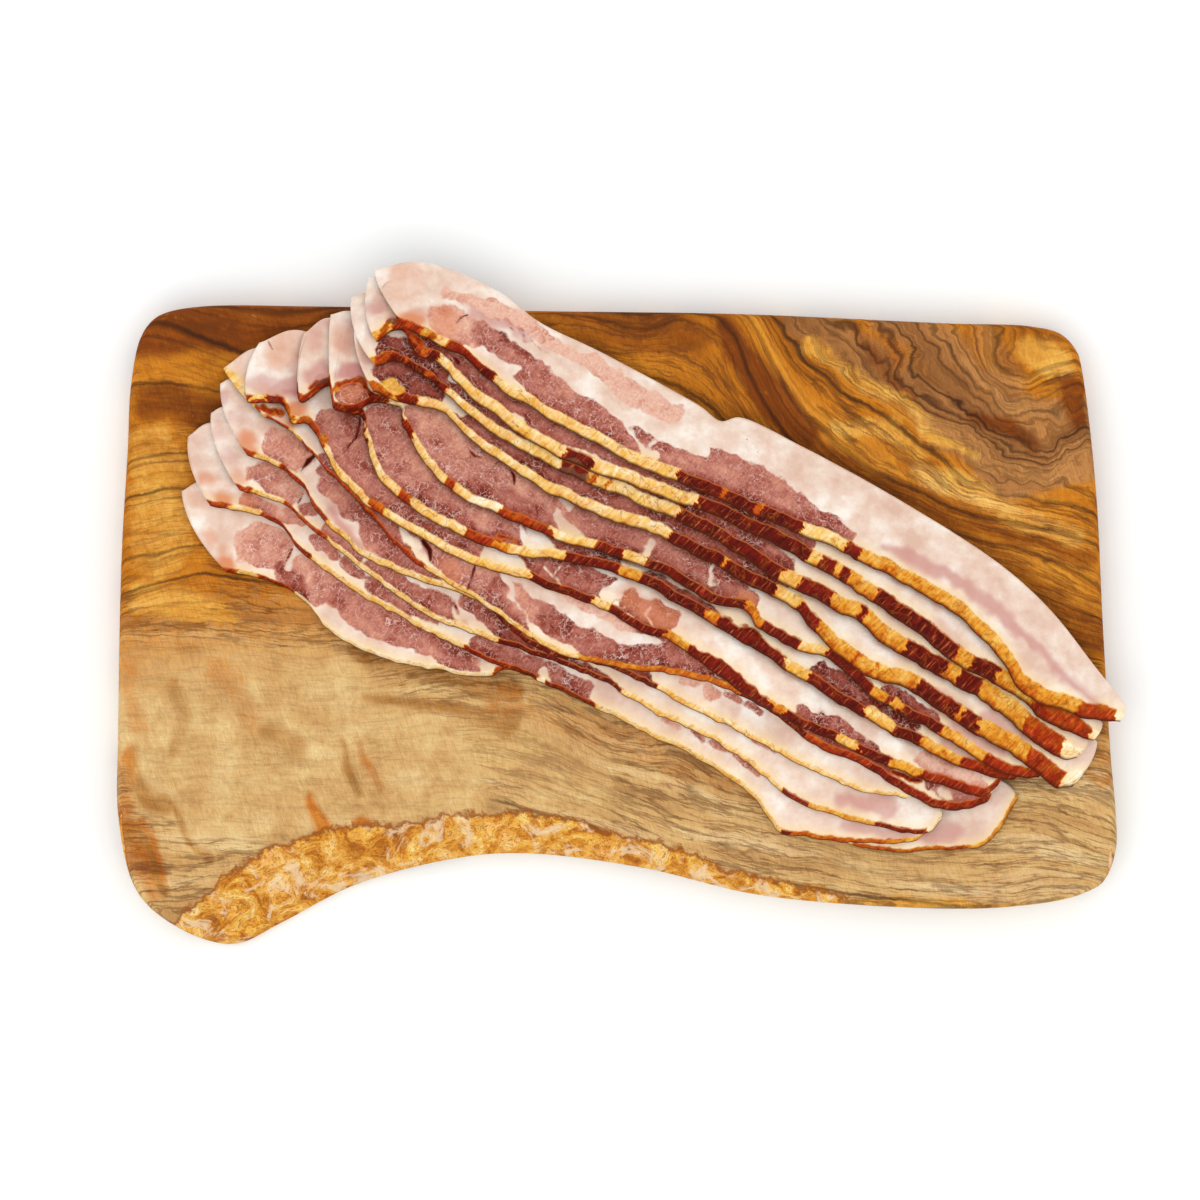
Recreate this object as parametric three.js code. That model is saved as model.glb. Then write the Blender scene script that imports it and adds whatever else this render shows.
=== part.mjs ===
// Smoked bacon rashers on an olive-wood board
//
// Twelve thick rashers lie shingled on a board with one live edge. The first lies flat
// on the wood, and each next one lies over it and further back, so that every smoked
// edge shows. Units are millimetres and +Z is up. X runs along the board, the live edge
// faces -Y, and the origin is on the table under the middle of the whole.

import * as THREE from 'three';

// ---------- Driving dimensions ----------

const BOARD_THICKNESS = 18;
const EDGE_ROUND = 1.8;         // how far the board's worn rim comes in at its faces
const BARK_SLOPE = 0.7;         // how far the bark drops for each millimetre it runs out
const BARK_FOOT = 4;            // the bark stops this high over the board's underside
const RIM_POINTS = 140;

const RASHER_THICKNESS = 4.1;   // a thick-cut rasher, measured straight up
const LAYER_GAP = 0.4;          // between one rasher's underside and what carries it
const STIFFNESS = 24;           // smallest radius a limp rasher sags to, over a step
const TIP_THINNING = 0.3;       // share of the thickness that is lost at the narrow end
const STATIONS = 34;            // sections along a rasher
const HIDDEN_STATIONS = [0.3, 0.5, 0.7, 0.86];  // where a hidden back edge is measured
const END_ARC = 0.11;           // how far a rasher's end bows out, as a share of its width
const CLEARING_SWEEPS = 14;     // rounds of raising a rasher clear of what lies below
const SHARING_SWEEPS = 8;       // how many of them first share a point's lift with the next
const LIFT_SHARING = 0.3;       // share of the way that a lift moves to its neighbours'
const BED_CELL = 0.8;           // grid of the heights that the next rasher lies on
const BED_HALF = [176, 120];    // half the grid's length and width

// The board's rim, anticlockwise from above, starting at the left end of the live edge.
const BOARD_RIM = [
  [-134, -107.8], [-123.5, -109.2], [-109.5, -102.5], [-85, -90], [-52.5, -81.5], [-30.5, -80],
  [6.5, -84.5], [43, -93], [78, -96.5], [117, -97.5], [140.5, -95], [149, -92.5], [155, -89],
  [159, -79], [159, -66], [157.5, -49.5], [155, -8], [152.5, 39.5], [148, 76.5], [146.5, 81.5],
  [141.5, 87], [132, 89.5], [105, 90.5], [38, 93.5], [-29, 94.5], [-100.5, 96], [-134, 96],
  [-146, 94], [-150.5, 91.5], [-154.5, 85.5], [-157.5, 70], [-158.5, 50], [-160.5, 14.5],
  [-161.6, -43], [-161.6, -67], [-157, -89], [-150.5, -98],
];
// How far the sloping bark reaches in from the live edge, by place along the board.
const BARK_REACH = [[-150, 0], [-138, 7], [-128, 21], [-113, 25], [-99, 21], [-70, 13],
  [-16, 10], [31, 5], [80, 0]];

// Each rasher from the lowest to the topmost: its front edge from the broad end to the
// tip, the back corner of its broad end (heel) and where its back edge goes from there
// (brow), the back corner of its tip, its width across the middle, and how wide its
// sloping cut edge shows at the broad end, the middle and the tip.
const RASHERS = [
  { heel: [-141, 36.5], brow: [-133, 40], tip: [122.5, -56.5], width: 34, edge: [1.8, 1.7, 1.5],
    front: [[-126.5, 10.5], [-115, 8.5], [-102.5, 1.5], [-90, -11], [-70.5, -18.5], [-42.5, -23],
      [-37, -21], [-10, -30.5], [41, -57.5], [75, -77], [107, -78.5], [117, -77], [128, -62.5]] },
  { heel: [-139, 54], brow: [-131, 58.5], tip: [101.5, -67], width: 34, edge: [2.4, 2.2, 2.4],
    front: [[-131.5, 32], [-111, 26.5], [-102.5, 17.5], [-88.5, 6.5], [-51.5, -14], [-26, -24.5],
      [6, -40], [41, -60], [51, -72.5], [62, -75], [93, -76], [97.5, -73.5]] },
  { heel: [-131.5, 61.5], brow: [-127, 63.5], tip: [102.5, -65], width: 34, edge: [2.4, 2.4, 2.6],
    front: [[-122, 37], [-109, 32.5], [-98, 24], [-70.5, 2], [-54.5, -7], [-10, -22.5], [6, -32],
      [38, -48.5], [57, -63.5], [76.5, -69.5], [99, -73], [103, -69]] },
  { heel: [-128.5, 71], brow: [-124.5, 72.5], tip: [97.5, -57.5], width: 33, edge: [2.6, 2.4, 2.2],
    front: [[-119.5, 48], [-110, 44.5], [-101, 37], [-96.5, 29], [-80.5, 14.5], [-42, -1],
      [-37, -6.5], [-22.5, -16], [-10, -18], [41, -42.5], [77, -60], [91, -61.5]] },
  { heel: [-127.5, 76], brow: [-115, 82.5], tip: [119.5, -58], width: 32, edge: [1.8, 1.8, 3.2],
    front: [[-114, 60], [-106, 55.5], [-97, 46], [-80.5, 28.5], [-68, 15.5], [-41.5, -1.5],
      [-27, -12], [-16.5, -16.5], [31.5, -26], [47.5, -34], [59, -43], [76.5, -51.5],
      [97.5, -63.5], [105, -66], [113.5, -64.5], [117.5, -62.5]] },
  { heel: [-116, 84], brow: [-102.5, 88], tip: [123, -53], width: 31, edge: [2.6, 3.0, 3.4],
    front: [[-119.5, 64.5], [-108, 63.5], [-105.5, 58], [-101, 58], [-88.5, 39], [-77, 29],
      [-44, 11.5], [-34, 9], [-3.5, -3], [6, -8.5], [16, -12], [40, -29], [84.5, -51.5],
      [107, -59], [116.5, -61], [120.5, -58]] },
  { heel: [-101.5, 87], brow: [-93, 92], tip: [132, -49], width: 30, edge: [2.8, 3.6, 3.8],
    front: [[-103, 68], [-102, 65], [-93, 69.5], [-87.5, 61.5], [-83.5, 60], [-82, 53.5],
      [-75.5, 38.5], [-61, 27], [-30.5, 15], [-19.5, 14.5], [6, 6.5], [27, -5], [40, -13],
      [84.5, -40], [118, -55], [126, -56]] },
  { heel: [-93, 93], brow: [-86, 94], tip: [139, -47], width: 29, edge: [2.8, 3.4, 3.8],
    front: [[-93, 70.5], [-91.5, 62.5], [-87.5, 61.5], [-77, 64.5], [-70.5, 62.5], [-69, 56],
      [-55, 37], [-38, 28.5], [-17.5, 19.5], [-9, 18], [12.5, 10], [31, 0], [39, -2], [43.5, -7],
      [57, -14.5], [65.5, -17], [80, -29], [101.5, -41.5], [126, -55], [134, -55.5]] },
  { heel: [-85, 90], brow: [-79.5, 96], tip: [153, -44], width: 28.5, edge: [3.4, 4.4, 4.8],
    front: [[-79, 68], [-67, 63.5], [-58, 62], [-45, 50], [-16.5, 32.5], [15, 20.5], [38, 8],
      [55.5, -1.5], [61, -8.5], [71, -17.5], [80, -23.5], [89.5, -26.5], [102, -34.5],
      [127.5, -50.5], [141, -60], [146, -56]] },
  { heel: [-86.5, 98.5], brow: [-80.5, 100], tip: [150, -44], width: 28, edge: [3.4, 4.2, 5.0],
    front: [[-78, 76], [-72, 78], [-64.5, 74], [-38.5, 53], [-11.5, 39.5], [25.5, 23.5],
      [47.5, 9.5], [77, -6.5], [83, -12], [116.5, -31.5], [134, -46], [143, -49.5],
      [145.5, -48.5]] },
  { heel: [-81, 104.5], brow: [-77, 105.3], tip: [154.5, -38], width: 27.5, edge: [3.6, 4.2, 4.8],
    front: [[-78, 84], [-70.5, 87.5], [-64.5, 79], [-59, 77], [-45, 64], [-18, 46], [9.5, 36],
      [44.5, 21.5], [83, -1], [110, -20.5], [128, -30.5], [144.5, -42.5], [152.5, -42.5]] },
  { edge: [4.2, 4.2, 4.6],
    front: [[-68, 88], [-55.5, 81.5], [-48.5, 78], [-38.5, 69], [-19.5, 57.5], [0, 47],
      [31, 33.5], [63.5, 20], [88.5, 7.5], [108, -4], [121.5, -18], [127.5, -27], [134, -31.5],
      [148.5, -36], [160, -38]],
    back: [[-79, 107], [-67.5, 109.8], [-58, 108.5], [-38.5, 100], [-26, 90.5], [-6.5, 81],
      [25.5, 63.5], [32, 58.8], [38, 60], [57.5, 51], [89.5, 33.5], [121.5, 13], [137.5, -1.5],
      [153, -21], [162, -32]] },
];

const OLIVE_WOOD = 0x9a5f33;
const CURED_MEAT = 0xcf8f7c;

// ---------- Small tools ----------

const smooth = THREE.MathUtils.smoothstep;
const mix = THREE.MathUtils.lerp;

// A smooth curve through flat points, as a list of evenly spaced [x, y].
function curvePoints(points, count, closed = false) {
  const places = points.map(([x, y]) => new THREE.Vector3(x, y, 0));
  const curve = new THREE.CatmullRomCurve3(places, closed, 'centripetal');
  curve.arcLengthDivisions = 600;
  return curve.getSpacedPoints(count).map((p) => [p.x, p.y]);
}

// The value of a table of [place, value] rows at x, straight between its rows.
function along(table, x) {
  if (x <= table[0][0]) return table[0][1];
  for (let i = 1; i < table.length; i++) {
    const [x0, y0] = table[i - 1];
    const [x1, y1] = table[i];
    if (x <= x1) return mix(y0, y1, (x - x0) / (x1 - x0));
  }
  return table[table.length - 1][1];
}

// The unit vector from one point to another, and the one to the left of it.
function towards([x0, y0], [x1, y1]) {
  const length = Math.hypot(x1 - x0, y1 - y0);
  return [(x1 - x0) / length, (y1 - y0) / length];
}
function leftOf(from, to) {
  const [dx, dy] = towards(from, to);
  return [-dy, dx];
}

// A closed skin through rings of equally many points, with a cap on both ends. Seen from
// the last ring, every ring runs clockwise. capPlan gives a cap's points on a plane.
function skin(rings, capPlan) {
  const size = rings[0].length;
  const position = rings.flat(2);
  const faces = [];
  for (let r = 0; r + 1 < rings.length; r++) {
    for (let i = 0; i < size; i++) {
      const j = (i + 1) % size;
      const [a, b] = [r * size + i, r * size + j];
      faces.push(a, b, b + size, a, b + size, a + size);
    }
  }
  for (const [ring, start, flip] of [[rings[0], 0, true],
    [rings[rings.length - 1], (rings.length - 1) * size, false]]) {
    const flat = ring.map((p) => capPlan(p, ring));
    const turned = THREE.ShapeUtils.isClockWise(flat);
    for (const [a, b, c] of THREE.ShapeUtils.triangulateShape(flat, [])) {
      faces.push(start + a, ...(flip !== turned ? [start + c, start + b] : [start + b, start + c]));
    }
  }
  const geometry = new THREE.BufferGeometry();
  geometry.setAttribute('position', new THREE.Float32BufferAttribute(position, 3));
  geometry.setIndex(faces);
  geometry.computeVertexNormals();
  return geometry;
}

// ---------- The board ----------

// Rings from the underside to the top face. The rim is rounded at both faces, and along
// the live edge the upper ring is drawn in over the sloping bark.
function boardGeometry() {
  const rim = curvePoints(BOARD_RIM, RIM_POINTS, true).slice(0, RIM_POINTS);
  const inward = rim.map((_, i) => leftOf(rim.at(i - 1), rim[(i + 1) % rim.length]));
  const bark = rim.map(([x, y]) => (y < -60 ? along(BARK_REACH, x) : 0));
  const barkDrop = bark.map((reach) =>
    Math.min(reach * BARK_SLOPE, BOARD_THICKNESS - EDGE_ROUND - BARK_FOOT));
  const ring = (round, share, height) => rim.map(([x, y], i) => [
    x + inward[i][0] * round,
    y + inward[i][1] * round + bark[i] * share,
    height(i),
  ]);
  const top = BOARD_THICKNESS;
  return skin([
    ring(EDGE_ROUND, 0, () => 0),
    ring(0, 0, () => EDGE_ROUND),
    ring(0, 0, (i) => top - EDGE_ROUND - barkDrop[i]),
    ring(EDGE_ROUND * 0.3, 0.45, (i) => top - EDGE_ROUND * 0.3 - barkDrop[i] * 0.45),
    ring(EDGE_ROUND, 1, () => top),
  ], ([x, y]) => new THREE.Vector2(x, y));
}

// ---------- The bed: heights of all that lies so far ----------

const columns = Math.round((2 * BED_HALF[0]) / BED_CELL);
const rows = Math.round((2 * BED_HALF[1]) / BED_CELL);
const bed = new Float32Array(columns * rows).fill(BOARD_THICKNESS);

// Calls visit(cell, a, b, c) for each cell middle under a triangle of [x, y, z] points,
// with the shares of its three corners there.
function eachCellUnder([p, q, r], visit) {
  const area = (q[0] - p[0]) * (r[1] - p[1]) - (r[0] - p[0]) * (q[1] - p[1]);
  if (Math.abs(area) < 1e-9) return;
  const column = (x) => (x + BED_HALF[0]) / BED_CELL - 0.5;
  const row = (y) => (y + BED_HALF[1]) / BED_CELL - 0.5;
  const c1 = Math.floor(column(Math.max(p[0], q[0], r[0])));
  const r1 = Math.floor(row(Math.max(p[1], q[1], r[1])));
  for (let j = Math.ceil(row(Math.min(p[1], q[1], r[1]))); j <= r1; j++) {
    for (let i = Math.ceil(column(Math.min(p[0], q[0], r[0]))); i <= c1; i++) {
      const x = (i + 0.5) * BED_CELL - BED_HALF[0];
      const y = (j + 0.5) * BED_CELL - BED_HALF[1];
      const b = ((x - p[0]) * (r[1] - p[1]) - (r[0] - p[0]) * (y - p[1])) / area;
      const c = ((q[0] - p[0]) * (y - p[1]) - (x - p[0]) * (q[1] - p[1])) / area;
      if (b >= 0 && c >= 0 && b + c <= 1) visit(j * columns + i, 1 - b - c, b, c);
    }
  }
}

// One pass of a parabola of the rasher's stiffness over the heights, along the grid's
// rows and columns: sign +1 takes the highest place it touches from above, -1 the lowest.
function parabolaPass(heights, sign) {
  const reach = Math.ceil(20 / BED_CELL);
  let from = heights;
  for (const [step, limit, place] of [[1, columns, (n) => n % columns],
    [columns, rows, (n) => Math.floor(n / columns)]]) {
    const to = new Float32Array(from.length);
    for (let n = 0; n < from.length; n++) {
      const at = place(n);
      let best = -Infinity;
      for (let k = Math.max(-reach, -at); k <= Math.min(reach, limit - 1 - at); k++) {
        const drop = (k * BED_CELL) ** 2 / (2 * STIFFNESS);
        best = Math.max(best, sign * from[n + k * step] - drop);
      }
      to[n] = sign * best;
    }
    from = to;
  }
  return from;
}

// The bed as a limp but thick rasher follows it: steps are bridged, crests are kept.
const draped = () => parabolaPass(parabolaPass(bed, 1), -1);

function heightAt(heights, x, y) {
  const gx = (x + BED_HALF[0]) / BED_CELL - 0.5;
  const gy = (y + BED_HALF[1]) / BED_CELL - 0.5;
  const [i, j] = [Math.floor(gx), Math.floor(gy)];
  const n = j * columns + i;
  return mix(mix(heights[n], heights[n + 1], gx - i),
    mix(heights[n + columns], heights[n + columns + 1], gx - i), gy - j);
}

// ---------- The rashers ----------

// Front and back edge of one rasher, station by station. Where the back edge is hidden
// it keeps the rasher's width, and meets the corners of its broad end and its tip.
function ribs({ front, back, heel, brow, tip, width }) {
  const last = STATIONS - 1;
  const near = curvePoints(front, last);
  const hidden = HIDDEN_STATIONS.map((share) => {
    const i = Math.round(share * last);
    const [nx, ny] = leftOf(near[i - 2], near[i + 2]);
    return [near[i][0] + nx * width, near[i][1] + ny * width];
  });
  return { near, far: curvePoints(back ?? [heel, brow, ...hidden, tip], last) };
}

const UNDER = [0, 0.25, 0.5, 0.75, 1];      // places across the underside
const OVER = [0.95, 0.72, 0.48, 0.26];      // places across the top face, from the back

// A section's points, as [share of the way across, share of the thickness].
function section(edgeShare) {
  return [
    ...UNDER.map((v) => [v, 0]),
    [1, 0.5],
    ...OVER.map((v) => [v, 1]),
    [edgeShare, 1],
    [edgeShare * 0.4, 0.72],
    [0, 0.25],
  ];
}

// The place on the plan of a share v of the way across a station. Both ends are cut in
// a shallow arc, so the first and last stations bow outwards.
function place({ near, far }, i, v) {
  const last = STATIONS - 1;
  const [dx, dy] = towards(near[Math.max(i - 1, 0)], near[Math.min(i + 1, last)]);
  const span = Math.hypot(far[i][0] - near[i][0], far[i][1] - near[i][1]);
  const bow = END_ARC * span * 4 * v * (1 - v);
  const out = bow * (smooth(i, last - 3, last) - 1 + smooth(i, 0, 3));
  return [mix(near[i][0], far[i][0], v) + dx * out, mix(near[i][1], far[i][1], v) + dy * out];
}

// One rasher laid on the bed, as rings of points. Its underside is draped on the bed,
// then raised where its flat facets would cut into what lies below, in gentle swells.
function layRasher(rasher, index) {
  const plan = ribs(rasher);
  const limp = draped();
  const floor = plan.near.map((_, i) => UNDER.map((v) => {
    const [x, y] = place(plan, i, v);
    return [x, y, heightAt(limp, x, y) + LAYER_GAP];
  }));
  const rest = floor.map((row) => row.map((point) => point[2]));
  for (let sweep = 0; sweep < CLEARING_SWEEPS; sweep++) {
    if (sweep < SHARING_SWEEPS) shareLift(floor, rest);
    raiseClear(floor);
  }

  return plan.near.map(([x0, y0], i) => {
    const u = i / (STATIONS - 1);
    const end = Math.min(smooth(u, -0.02, 0.04), smooth(1 - u, -0.02, 0.03));
    const waver = 1 + 0.07 * Math.sin(7 * u + 2.4 * index) + 0.04 * Math.sin(17 * u + index);
    const thickness = RASHER_THICKNESS * waver * (1 - TIP_THINNING * u * u) * (0.5 + 0.5 * end);
    const span = Math.hypot(plan.far[i][0] - x0, plan.far[i][1] - y0);
    const edge = along([[0, rasher.edge[0]], [0.5, rasher.edge[1]], [1, rasher.edge[2]]], u);
    return section(Math.min(edge / span, 0.2)).map(([v, t]) => {
      const at = v * (UNDER.length - 1);
      const k = Math.min(Math.floor(at), UNDER.length - 2);
      const rest = mix(floor[i][k][2], floor[i][k + 1][2], at - k);
      return [...place(plan, i, v), rest + thickness * t];
    });
  });
}

// The two triangles of each quad between neighbouring rows of points.
function trianglesOf(grid) {
  const found = [];
  for (let i = 0; i + 1 < grid.length; i++) {
    for (let j = 0; j + 1 < grid[i].length; j++) {
      const [a, b] = [grid[i][j], grid[i][j + 1]];
      const [c, d] = [grid[i + 1][j + 1], grid[i + 1][j]];
      found.push([a, b, c], [a, c, d]);
    }
  }
  return found;
}

// Shares out what the points of an underside were raised over their rest heights: each
// one's lift moves part of the way to its neighbours' mean.
function shareLift(floor, rest) {
  const lift = floor.map((row, i) => row.map((point, j) => point[2] - rest[i][j]));
  floor.forEach((row, i) => row.forEach((point, j) => {
    const beside = [lift[i - 1]?.[j], lift[i + 1]?.[j], lift[i][j - 1], lift[i][j + 1]]
      .filter((height) => height !== undefined);
    const mean = beside.reduce((sum, height) => sum + height, 0) / beside.length;
    point[2] = rest[i][j] + mix(lift[i][j], mean, LIFT_SHARING);
  }));
}

// Raises the corners of each facet of an underside that reaches into the bed.
function raiseClear(floor) {
  for (const corners of trianglesOf(floor)) {
    const [p, q, r] = corners;
    eachCellUnder(corners, (cell, a, b, c) => {
      const short = bed[cell] + LAYER_GAP - (a * p[2] + b * q[2] + c * r[2]);
      if (short <= 0) return;
      const push = short / (a * a + b * b + c * c);
      p[2] += push * a;
      q[2] += push * b;
      r[2] += push * c;
    });
  }
}

// Adds the top of a laid rasher to the bed.
function raiseBed(rings) {
  const tops = rings.map((ring) => ring.slice(UNDER.length - 1));
  for (const corners of trianglesOf(tops)) {
    const [p, q, r] = corners;
    eachCellUnder(corners, (cell, a, b, c) => {
      bed[cell] = Math.max(bed[cell], a * p[2] + b * q[2] + c * r[2]);
    });
  }
}

// A section stands upright over one rib, so an end is laid flat along that rib.
function alongRib([x, y, z], ring) {
  const [x0, y0] = ring[0];
  const [x1, y1] = ring[UNDER.length - 1];
  const length = Math.hypot(x1 - x0, y1 - y0);
  return new THREE.Vector2(((x - x0) * (x1 - x0) + (y - y0) * (y1 - y0)) / length, z);
}

// ---------- Assembly ----------

const group = new THREE.Group();

const board = new THREE.Mesh(
  boardGeometry(),
  new THREE.MeshStandardMaterial({ color: OLIVE_WOOD, roughness: 0.55, metalness: 0 }),
);
board.name = 'board';
group.add(board);

const cured = new THREE.MeshStandardMaterial({ color: CURED_MEAT, roughness: 0.4, metalness: 0 });
RASHERS.forEach((rasher, index) => {
  const rings = layRasher(rasher, index);
  raiseBed(rings);
  const mesh = new THREE.Mesh(skin(rings, alongRib), cured);
  mesh.name = `rasher_${String(index + 1).padStart(2, '0')}`;
  group.add(mesh);
});

export default group;
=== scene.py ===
# Smoked bacon rashers, shingled across an olive-wood board with one live edge.
# Sizes are millimetres until a mesh is made. X runs along the board, the live edge faces
# -Y, and Z is up from the table under the middle of the whole.

import bpy
import numpy as np
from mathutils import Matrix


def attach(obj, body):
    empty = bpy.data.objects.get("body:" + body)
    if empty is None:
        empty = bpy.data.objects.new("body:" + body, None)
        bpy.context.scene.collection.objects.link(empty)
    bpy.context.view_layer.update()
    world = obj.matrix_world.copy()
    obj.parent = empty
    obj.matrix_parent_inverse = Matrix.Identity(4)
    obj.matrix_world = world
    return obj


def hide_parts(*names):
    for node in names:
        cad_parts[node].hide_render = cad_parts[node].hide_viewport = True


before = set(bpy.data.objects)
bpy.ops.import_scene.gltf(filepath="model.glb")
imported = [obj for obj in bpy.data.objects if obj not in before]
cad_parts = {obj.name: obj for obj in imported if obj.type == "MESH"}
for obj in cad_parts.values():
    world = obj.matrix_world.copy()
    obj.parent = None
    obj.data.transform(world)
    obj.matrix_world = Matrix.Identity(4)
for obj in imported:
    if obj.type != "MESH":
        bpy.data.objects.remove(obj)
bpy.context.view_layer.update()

# ---------- The board ----------
# One plank of olive wood, sawn on three sides and left as it grew on the fourth, where a
# crust of inner bark still clings. Planed, sanded, oiled, and worn round along its rim.

BOARD_THICKNESS = 18.0
EDGE_ROUND = 1.8          # how far the worn rim comes in at both faces
BARK_SLOPE = 0.7          # how far the bark drops for each millimetre it runs out
BARK_FOOT = 4.0           # the bark stops this high over the board's underside
BARK_SWELL = 1.2          # power of the slope's curve: 1 is straight, more is fuller
BARK_RELIEF = 0.9         # how far the crust's lumps stand out
LIVE_SIDE = -60.0         # the rim in front of this y is the live edge
BARK_ENDS = [(-139, -145), (60, 90)]
END_LOSS = 6.0            # how much the crust narrows from the first x of each to the second
BARE, DEEP = -9.0, 20.0   # stand for wood far from the crust and for places deep inside it
LAYER_LEAN = 1.3          # how much the grain's height gains for each millimetre down
TINT_LEAN = 0.9           # how far the stains shift along and across for each one down
PLATE_SLACK = 40.0        # how freely the grain's thin plate passes beside its marks
TREMBLE = 1.6             # how much a fine noise adds to the grain's height
BOARD_MIDDLE = (-60.0, 20.0)
RIM_POINTS = 720
TOP_RINGS = 94
LATTICE = 101             # random values each way before a field of lumps repeats
CURVE_STEPS = 24          # places between two points of a curve
BOARD_RIM = [
    [-134, -107.8], [-123.5, -109.2], [-109.5, -102.5], [-85, -90], [-52.5, -81.5],
    [-30.5, -80], [6.5, -84.5], [43, -93], [78, -96.5], [117, -97.5], [140.5, -95],
    [149, -92.5], [155, -89], [159, -79], [159, -66], [157.5, -49.5], [155, -8],
    [152.5, 39.5], [148, 76.5], [146.5, 81.5], [141.5, 87], [132, 89.5], [105, 90.5],
    [38, 93.5], [-29, 94.5], [-100.5, 96], [-134, 96], [-146, 94], [-150.5, 91.5],
    [-154.5, 85.5], [-157.5, 70], [-158.5, 50], [-160.5, 14.5], [-161.6, -43],
    [-161.6, -67], [-157, -89], [-150.5, -98],
]
BARK_REACH = [[-150, 0], [-138, 7], [-128, 21], [-113, 25], [-99, 21], [-70, 13],
              [-16, 10], [31, 5], [80, 0]]

# Fields of lumps, as [how high, size of a lump in mm, seed] for each layer.
BARK_LUMPS = [[1.0, 6.0, 11], [0.6, 2.4, 12]]
GRAIN_WAVES = [[1.1, 24, 21], [0.6, 9, 22]]
WARMTH_DRIFT = [[8, 30, 31]]
TINT_DRIFT = [[[2.4, 9, 32]], [[2.4, 9, 33]]]


def smooth(low, high, value):
    """0 below low, 1 above high, and an even S, 3t^2 - 2t^3, between them."""
    t = np.clip((value - low) / (high - low), 0, 1)
    return t * t * (3 - 2 * t)


def along(table, place):
    """The value of a table of [place, value] rows, straight between its rows."""
    return np.interp(place, *np.transpose(table))


def between(values, i, j, sx, sy):
    """What a lattice of values has at shares sx and sy of the way from i, j to the next."""
    low = values[i, j] * (1 - sx) + values[i + 1, j] * sx
    high = values[i, j + 1] * (1 - sx) + values[i + 1, j + 1] * sx
    return low * (1 - sy) + high * sy


def lumps(x, y, layers, turn=0):
    """Smooth random heights. Each layer is a lattice of random values from -1 to 1, one
    each size millimetres, with an even S between neighbours, times how high it is. Turn
    is added to the seeds, so that like pieces differ."""
    heights = 0
    for high, size, seed in layers:
        lattice = np.random.default_rng(seed + turn).uniform(-1, 1, (LATTICE, LATTICE))
        lattice = np.pad(lattice, (0, 1), mode="wrap")
        gx, gy = x / size, y / size
        i, j = np.floor(gx).astype(int), np.floor(gy).astype(int)
        sx, sy = smooth(0, 1, gx - i), smooth(0, 1, gy - j)
        heights = heights + high * between(lattice, i % LATTICE, j % LATTICE, sx, sy)
    return heights


def curve_through(points, shares, closed=False):
    """A Catmull-Rom curve through flat points, whose knots lie the square root of each
    chord apart, read at shares of its length."""
    p = np.array(points, float)
    if closed:
        p = np.vstack([p[-1], p, p[:2]])
    else:
        p = np.vstack([2 * p[0] - p[1], p, 2 * p[-1] - p[-2]])
    before, start, end, after = p[:-3], p[1:-2], p[2:-1], p[3:]
    gaps = np.sqrt(np.linalg.norm(np.diff(p, axis=0), axis=1))[:, None]
    g0, g1, g2 = gaps[:-2], gaps[1:-1], gaps[2:]
    leave = ((start - before) / g0 - (end - before) / (g0 + g1) + (end - start) / g1) * g1
    arrive = ((end - start) / g1 - (after - start) / (g1 + g2) + (after - end) / g2) * g1
    t = np.linspace(0, 1, CURVE_STEPS, endpoint=False)[:, None, None]
    path = (start * (2 * t**3 - 3 * t**2 + 1) + leave * (t**3 - 2 * t**2 + t)
            + end * (3 * t**2 - 2 * t**3) + arrive * (t**3 - t**2))
    path = np.vstack([path.transpose(1, 0, 2).reshape(-1, 2), end[-1]])
    length = np.append(0, np.cumsum(np.linalg.norm(np.diff(path, axis=0), axis=1)))
    at = np.asarray(shares) * length[-1]
    return np.stack([np.interp(at, length, path[:, k]) for k in (0, 1)], axis=-1)


def left_of(step):
    """Unit vectors to the left of flat steps."""
    step = step / np.linalg.norm(step, axis=-1, keepdims=True)
    return np.stack([-step[..., 1], step[..., 0]], axis=-1)


def skin(name, rings, fields):
    """A closed skin of quads along and round rings of equally many places, in metres,
    with a face over both ends, and one attribute for each field of values."""
    count, size = rings.shape[:2]
    at = np.arange(count * size).reshape(count, size)
    beside = np.roll(at, -1, axis=1)
    quads = np.stack([at[:-1], beside[:-1], beside[1:], at[1:]], axis=-1).reshape(-1, 4)
    mesh = bpy.data.meshes.new(name)
    mesh.from_pydata((rings.reshape(-1, 3) * 0.001).tolist(), [],
                     quads.tolist() + [at[0, ::-1].tolist(), at[-1].tolist()])
    mesh.polygons.foreach_set("use_smooth", np.ones(len(mesh.polygons), bool))
    for field, values in fields.items():
        layer = mesh.attributes.new(field, "FLOAT", "POINT")
        layer.data.foreach_set("value", values.astype(np.float32).ravel())
    piece = bpy.data.objects.new(name, mesh)
    bpy.context.collection.objects.link(piece)
    return piece


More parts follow.
